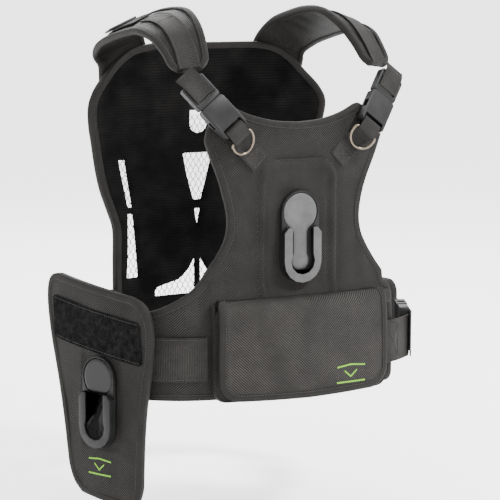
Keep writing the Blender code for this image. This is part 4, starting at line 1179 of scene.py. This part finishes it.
# %% The pocket
POCKET_HALF, POCKET_LOW, POCKET_HIGH, FLAP_TOP, FLAP_FOOT = 108.0, -43.0, 65.0, 69.0, -44.0
pocket_loop = slot_loop(-POCKET_HALF, POCKET_HALF, POCKET_LOW, POCKET_HIGH, 14)


def pocket_relief(s, z, d):
    return rumple(s, z, 0.5, 3.0) - 1.4 * np.exp(-d / 4.0)


pocket_back = panel("pocket_back_cloth", moved(pocket_loop, 1.0, True), (11.2, 12.6), NYLON, step=6.0)
dressed(pocket_back, "root", "nylon")
pocket_front = panel("pocket_front_cloth", moved(pocket_loop, 0.5, True), (20.6, 22.4), NYLON,
                     relief=pocket_relief, step=5.0)
dressed(pocket_front, "root", "nylon", "pocket_body")
gusset_line = pocket_loop[pocket_loop[:, 1] < POCKET_HIGH - 12]
order = np.argsort(np.arctan2(gusset_line[:, 0], -(gusset_line[:, 1] - 30)))
gusset_line = spaced(gusset_line[order], 4.0)
gusset_line = np.vstack(([(gusset_line[0, 0], POCKET_HIGH)], gusset_line,
                         [(gusset_line[-1, 0], POCKET_HIGH)]))
gusset_way = sideways(gusset_line)
sections = []
for (s, z), (a, b) in zip(gusset_line, gusset_way):
    loop = [(0.0, 11.3), (0.0, 13.5), (-1.2, 16.0), (-1.5, 17.0), (-1.2, 18.0), (0.0, 20.5), (0.0, 22.2),
            (1.4, 22.2),
            (1.4, 20.5), (0.2, 18.0), (0.0, 17.0), (0.2, 16.0), (1.4, 13.5), (1.4, 11.3)]
    sections.append(worn([(s + a * x, z + b * x, lift) for x, lift in loop]))
gusset = swept("pocket_gusset", np.array(sections), NYLON)
dressed(gusset, "root", "nylon")
refined("flap_root_cloth", "flap_root", "root", "nylon", NYLON, 0.4)
tape_loop = slot_loop(-80, 80, 6, 40, 2)
dressed(panel("pocket_hook_strip", tape_loop, (22.6, 23.9), HOOK_TAPE, step=4.0), "root", "fastener_tape",
        "pocket_hook_tape")
dressed(panel("flap_loop_strip", tape_loop, (24.4, 25.9), LOOP_TAPE, step=4.0), "pocket_flap",
        "fastener_tape",
        "flap_loop_tape")

# %% The flap
FLAP_ROLL, FLAP_LIFT = 9.0, 27.0
HINGE_PLANE, PRESSED = -0.1348, 0.92


def over_the_top(flat):
    """Rolls a cut over the pocket's mouth.

    Above the roll's start its length follows a quarter circle and then runs level. What would reach behind
    the hinge line is pressed against it, so that the flap clears the pocket's front as it opens.
    """
    flat = np.atleast_2d(np.asarray(flat, float)).copy()
    start = FLAP_TOP - FLAP_ROLL
    run = flat[:, 1] - start
    bent = run > 0
    angle = np.clip(run / FLAP_ROLL, 0, math.pi / 2)
    beyond = np.clip(run - FLAP_ROLL * math.pi / 2, 0, None)
    rise = flat[:, 2] - FLAP_LIFT
    flat[:, 1] = np.where(bent, start + (FLAP_ROLL + rise) * np.sin(angle), flat[:, 1])
    flat[:, 2] = np.where(bent, FLAP_LIFT - FLAP_ROLL + (FLAP_ROLL + rise) * np.cos(angle) - beyond,
                          flat[:, 2])
    made = worn(flat)
    made[:, 1] -= np.clip(made[:, 1] - HINGE_PLANE, 0, None) * PRESSED
    return made


FLAP_HALF = 104.0
flap_crest = FLAP_TOP - FLAP_ROLL + FLAP_ROLL * math.pi / 2 + 5.0
corner = np.radians(np.linspace(180, 270, 9))
left_turn = np.column_stack((24 - FLAP_HALF + 24 * np.cos(corner), FLAP_FOOT + 26 + 24 * np.sin(corner)))
foot_line = np.vstack((left_turn, [(-40, FLAP_FOOT + 0.8), (0, FLAP_FOOT), (40, FLAP_FOOT + 0.8)],
                       (left_turn * (-1, 1))[::-1]))
flap_line = np.vstack(([(-FLAP_HALF + 1, flap_crest), (-FLAP_HALF, 10)], foot_line,
                       [(FLAP_HALF, 10), (FLAP_HALF - 1, flap_crest)]))
flap_line = spaced(flap_line, 4.0)


def flap_relief(s, z, d):
    sag = 0.9 * np.sin(np.clip((z - FLAP_FOOT) / 110, 0, 1) * math.pi) * np.cos(s / 80)
    return sag + rumple(s, z, 0.45, 5.0) * np.clip(d / 15, 0, 1)


flap = panel("flap_cloth", moved(flap_line, 1.0), (26.2, 27.8), FLAP_NYLON, relief=flap_relief,
             bend=over_the_top, step=4.0)
dressed(flap, "pocket_flap", "nylon", "pocket_flap")
binding("flap_edge_tape", "flap_binding", flap_line, (25.9, 28.1), bend=over_the_top, body="pocket_flap")
print("pocket ready")

# %% [markdown]
# ## The holster
# The holster hangs on the belt by a sleeve. It is two cloth faces with foam between them, bound together
# all round, and it bends about an upright axis as the hip does.

# %% The holster
HOLSTER_TURN, HOLSTER_BEND = math.radians(-68), 420.0
holster_out = Vector((math.sin(HOLSTER_TURN), -math.cos(HOLSTER_TURN), 0))
holster_place = axes(Vector((-SIDE_CENTRE, 0, 0)) + holster_out * (SIDE_ARC[0] + 17),
                     Vector((-holster_out.y, holster_out.x, 0)), Vector((0, 0, 1)), holster_out)
HOLSTER_EDGE = ((56, 72), (70, 68), (78, 58), (81, 42), (79, 20), (73, -8), (66, -40), (60, -80), (56, -118),
                (54, -134),
                (47, -150), (34, -160))


def in_place(axes_of, local):
    """Points in mm from a set of axes, as places in metres."""
    return (local @ np.array(axes_of.to_3x3()).T + np.array(axes_of.translation)) * MM


def slanted(loop):
    """Leans and slopes a cut as the holster hangs: its level lines fall forwards, and its top leans back."""
    u, v = np.asarray(loop, float).T
    return np.column_stack((u - 12 - (v - 72) * 15 / 232, v - 0.14 * u + np.clip(v, 0, None) / 6))


def hung(flat):
    """Flat holster points (across, height, lift) in mm, as places in metres."""
    flat = np.atleast_2d(np.asarray(flat, float))
    turn = flat[:, 0] / HOLSTER_BEND
    reach = HOLSTER_BEND + flat[:, 2]
    local = np.column_stack((reach * np.sin(turn), flat[:, 1], reach * np.cos(turn) - HOLSTER_BEND))
    return in_place(holster_place, local)


holster_half = curve_through(HOLSTER_EDGE)
holster_loop = slanted(np.vstack((holster_half, (holster_half * (-1, 1))[::-1])))
after = np.roll(holster_loop, -1, 0)
if np.sum(holster_loop[:, 0] * after[:, 1] - after[:, 0] * holster_loop[:, 1]) < 0:
    holster_loop = holster_loop[::-1]
holster_loop = spaced(holster_loop, 4.0, True)


def holster_relief(s, z, d):
    calm = np.where((np.abs(s) < 28) & (z > -100) & (z < 8), 0.0, 1.0)
    return (swell(1.2, 9.0)(s, z, d) + rumple(s, z, 0.5, 6.0)) * calm - 0.4 * (1 - calm)


face = panel("holster_cloth", moved(holster_loop, 1.0, True), (0.0, 6.6), NYLON, relief=holster_relief,
             bend=hung, step=4.0)
dressed(face, "holster", "nylon", "holster_face", "holster_core", "holster_back_cloth")
binding("holster_edge_tape", "holster_binding", holster_loop, (-0.3, 7.0), closed=True, bend=hung,
        body="holster")
loop_patch = panel("holster_loop_patch", slanted(slot_loop(-67, 67, 8, 50, 3)), (6.9, 8.6), LOOP_TAPE,
                   bend=hung, step=4.0)
dressed(loop_patch, "holster", "fastener_tape", "holster_loop_tape")
refined("holster_belt_sleeve", "holster_sleeve", "holster", "nylon", NYLON, 0.5)
print("holster ready")

# %% [markdown]
# ## Hardware
# The moulded parts keep the shape of their solids. Each gets a copy whose sharp edges are rounded, because
# a moulded edge always catches a thin line of light.

# %% Buckles, sliders, receivers and screws
for side in ("left", "right"):
    refined(f"shoulder_socket_body_{side}", f"shoulder_socket_{side}", "root", "acetal", ACETAL, 0.9)
    refined(f"shoulder_plug_body_{side}", f"shoulder_plug_{side}", f"shoulder_plug_{side}", "acetal", ACETAL,
            0.7)
    refined(f"strap_adjuster_{side}", f"strap_slider_{side}", "root", "acetal", ACETAL, 0.7)
refined("waist_socket_body", "waist_socket", "root", "acetal", ACETAL, 1.0)
refined("waist_plug_body", "waist_plug", "waist_plug", "acetal", ACETAL, 0.7)
refined("belt_adjuster", "belt_slider", "root", "acetal", ACETAL, 0.7)
# The chest plate takes the lighter grey copy that paints the lit keyhole tops.
refined("chest_plate", "chest_back_plate", "root", "polycarbonate", KEYHOLE_LIT_GREY, 0.6)
for number in (1, 2):
    refined(f"chest_screw_head_{number}", f"chest_screw_{number}", "root", "steel", STEEL, 0.25)
    refined(f"holster_screw_head_{number}", f"holster_screw_{number}", "holster", "steel", STEEL, 0.25)


def key_plate(name, seat, body, finish):
    """The raised floor inside the keyhole: a disc, a neck and a lobe, with a gap all round."""
    disc = np.radians(np.linspace(-58, 238, 37))
    lobe = np.radians(np.linspace(140, 400, 21))
    loop = np.vstack((np.column_stack((21.2 * np.cos(disc), 27.5 + 21.2 * np.sin(disc))),
                      [(-9.4, 7.5), (-8.4, 4)],
                      np.column_stack((11 * np.cos(lobe), -27 + 11 * np.sin(lobe))), [(8.4, 4), (9.4, 7.5)]))
    made = panel(name, loop, (3.1, 4.6), finish, bend=lambda flat: in_place(seat, flat), step=2.0,
                 round_edge=0.7)
    return dressed(made, body, "polycarbonate")


receiver_y = float(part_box("chest_receiver")[1][1]) / MM
chest_seat = axes(Vector((0, receiver_y, 136)), Vector((1, 0, 0)), Vector((0, 0, 1)), Vector((0, -1, 0)))
holster_seat = holster_place @ Matrix.Translation((0, -46, 7.0))
# The chest keyhole and its floor get the lighter grey copy on their outward tops, painted as lit; the holster
# keyhole's top is glossy black, as black as its sides.
for name, node, seat, body, top in (("chest_keyhole", "chest_receiver", chest_seat, "root", KEYHOLE_LIT_GREY),
                                    ("holster_keyhole", "holster_receiver", holster_seat, "holster",
                                     KEYHOLE_GLOSS)):
    shown = (seat.translation, seat.col[2].to_3d(), 9.8, top)
    refined(name, node, body, "polycarbonate", KEYHOLE_SHADE_SIDE, 0.5, shown)
    key_plate(name + "_floor", seat, body, top)
print("hardware ready")

# %% [markdown]
# ## Stitches
# A seam is thousands of equal stitches, which is work for Geometry Nodes. The script works out one point
# for each stitch, with the way it lies. The tree puts a short length of thread on each and gives it its
# finish.

# %% Stitches by Geometry Nodes


def stitch_tree():
    tree, start, end = grow_tree("sewing",
                                 [("Stitch length", "NodeSocketFloat"),
                                  ("Thread thickness", "NodeSocketFloat"),
                                            ("Finish", "NodeSocketMaterial")])
    thread = tree.nodes.new("GeometryNodeMeshUVSphere")
    for key, value in (("Segments", 6), ("Rings", 5), ("Radius", 0.5)):
        thread.inputs[key].default_value = value
    size = tree.nodes.new("ShaderNodeCombineXYZ")
    way = tree.nodes.new("GeometryNodeInputNamedAttribute")
    way.data_type = "FLOAT_VECTOR"
    way.inputs["Name"].default_value = "way"
    turned = tree.nodes.new("FunctionNodeEulerToRotation")
    place = tree.nodes.new("GeometryNodeInstanceOnPoints")
    real = tree.nodes.new("GeometryNodeRealizeInstances")
    paint = tree.nodes.new("GeometryNodeSetMaterial")
    link = tree.links.new
    link(start.outputs["Geometry"], place.inputs["Points"])
    link(thread.outputs[0], place.inputs["Instance"])
    link(start.outputs["Stitch length"], size.inputs[0])
    link(start.outputs["Thread thickness"], size.inputs[1])
    link(start.outputs["Thread thickness"], size.inputs[2])
    link(size.outputs[0], place.inputs["Scale"])
    link(way.outputs[0], turned.inputs[0])
    link(turned.outputs[0], place.inputs["Rotation"])
    link(place.outputs[0], real.inputs[0])
    link(real.outputs[0], paint.inputs["Geometry"])
    link(start.outputs["Finish"], paint.inputs["Material"])
    link(paint.outputs[0], end.inputs[0])
    return tree


def along_seam(line, normals, pitch):
    """Places and turns of the stitches along a seam."""
    run, near = run_of(line), 0.0008
    count = max(2, round(run[-1] / (pitch * MM)))
    marks = (np.arange(count) + 0.5) / count * run[-1]
    spots = at_marks(marks, run, line)
    ahead = at_marks(marks + near, run, line) - at_marks(marks - near, run, line)
    turns = []
    for a, n in zip(ahead, at_marks(marks, run, normals)):
        a, n = Vector(a).normalized(), Vector(n)
        b = n.cross(a).normalized()
        turns.append(tuple(Matrix((a, b, a.cross(b))).transposed().to_euler("XYZ")))
    return spots, turns


for line, bend, closed, body in STITCHES:
    if closed:
        line = np.vstack((line, line[:1]))
    sew_cut(spaced(line, 3.0), bend, body)
for inset in (0.0, CHANNEL_WIDTH):
    line = spaced(channel_line(inset), 3.0)
    sew_cut(np.column_stack((line, np.full(len(line), 10.0 + 0.9))), worn, "root")
for level in (10.5, 47.5):
    line = slanted(np.column_stack((np.linspace(-64, 64, 40), np.full(40, level))))
    sew_cut(np.column_stack((line, np.full(40, 8.7))), hung, "holster")


def motif():
    """A plain embroidered device: an open chevron between two level bars."""
    for lap in np.arange(0, 1.6, 0.5):
        yield np.array([(34, -13 - lap), (52, -11 - lap), (71, -13 - lap)])
        yield np.array([(34, -31 - lap), (71, -31 - lap)])
        yield np.array([(44, -18 - lap), (52, -25 - lap), (60, -18 - lap)])


for strand in motif():
    line = spaced(strand, 1.5)
    line = np.column_stack((line, np.full(len(line), 28.0)))
    line[:, 2] += flap_relief(line[:, 0], line[:, 1], np.full(len(line), 20.0))
    sew_cut(line, over_the_top, "pocket_flap", EMBROIDERY_PITCH, LIME_THREAD)
    line = np.column_stack((line[:, 0] * 0.9 - 49, line[:, 1] * 0.9 - 101, np.zeros(len(line))))
    line[:, 2] = 6.8 + holster_relief(line[:, 0], line[:, 1], np.full(len(line), 20.0))
    sew_cut(line, hung, "holster", EMBROIDERY_PITCH, LIME_THREAD)

SEWING = stitch_tree()
groups = {}
for line, normals, body, pitch, thread in SEAMS:
    groups.setdefault((body, thread), []).append(along_seam(np.asarray(line), np.asarray(normals), pitch))
for (body, thread), parts in groups.items():
    spots = np.vstack([p[0] for p in parts])
    turns = np.array([t for p in parts for t in p[1]], np.float32)
    mesh = bpy.data.meshes.new("seed")
    mesh.from_pydata([tuple(p) for p in spots], [], [])
    way = mesh.attributes.new("way", "FLOAT_VECTOR", "POINT")
    way.data.foreach_set("vector", turns.ravel())
    lime = thread == LIME_THREAD.name
    made = baked(f"stitches_{body}_{'lime' if lime else 'black'}", linked("seed", mesh), SEWING,
                 {"Stitch length": 0.0030 if lime else 0.0025, "Thread thickness": 0.0006
                  if lime else 0.00062,
                  "Finish": bpy.data.materials[thread]})
    dressed(made, body, "webbing")
print("stitches:", sum(len(p[0]) for parts in groups.values() for p in parts))

# %% Camera, floor and light
CAMERA_AZIMUTH, CAMERA_HEIGHT, CAMERA_DISTANCE, LENS = math.radians(-28.5), math.radians(8.0), 2.4, 146.5
back_to_camera = Vector((math.sin(CAMERA_AZIMUTH) * math.cos(CAMERA_HEIGHT),
                         -math.cos(CAMERA_AZIMUTH) * math.cos(CAMERA_HEIGHT), math.sin(CAMERA_HEIGHT)))
to_right = Vector((math.cos(CAMERA_AZIMUTH), math.sin(CAMERA_AZIMUTH), 0))
upwards = back_to_camera.cross(to_right)
aim = Vector((0, 0, 0.12)) + to_right * 0.0047 - upwards * 0.0153
camera_data = bpy.data.cameras.new("camera")
camera_data.lens = LENS
camera = linked("camera", camera_data)
camera.matrix_world = Matrix.Translation(aim + back_to_camera * CAMERA_DISTANCE) @ Matrix(
    (to_right, upwards, back_to_camera)).transposed().to_4x4()
bpy.context.scene.camera = camera


def lamp(name, place, size, power, target=(0, 0, 0.12)):
    data = bpy.data.lights.new(name, "AREA")
    data.shape = "DISK"
    data.size = size
    data.energy = power
    made = linked(name, data)
    made.location = place
    made.rotation_euler = (Vector(target) - Vector(place)).to_track_quat("-Z", "Y").to_euler()


lamp("key", (1.3, -1.7, 2.3), 0.5, 150)
lamp("fill", (-2.0, -1.6, 0.9), 1.4, 16)
lamp("rim", (0.6, 1.9, 1.7), 1.2, 50)
world = bpy.data.worlds.new("studio")
bpy.context.scene.world = world
world.use_nodes = True
world.node_tree.nodes["Background"].inputs["Color"].default_value = (1, 1, 1, 1)
world.node_tree.nodes["Background"].inputs["Strength"].default_value = 2.4

FLOOR_LEVEL = (CAD_BOX[0][2] - 0.03) if CAD_BOX[0][2] > -10 else -0.2
floor_finish = Recipe("pale_floor", roughness=0.9)
floor_finish.feed("Base Color", (0.97, 0.97, 0.97, 1))
floor_finish.shader.inputs["Emission Color"].default_value = (1, 1, 1, 1)
floor_finish.shader.inputs["Emission Strength"].default_value = 0.9
reach = 40.0
floor = piece("floor",
              [(-reach, -reach, FLOOR_LEVEL), (reach, -reach, FLOOR_LEVEL), (reach, reach, FLOOR_LEVEL),
                        (-reach, reach, FLOOR_LEVEL)], [(0, 1, 2, 3)], floor_finish.material)
print("camera and light set")
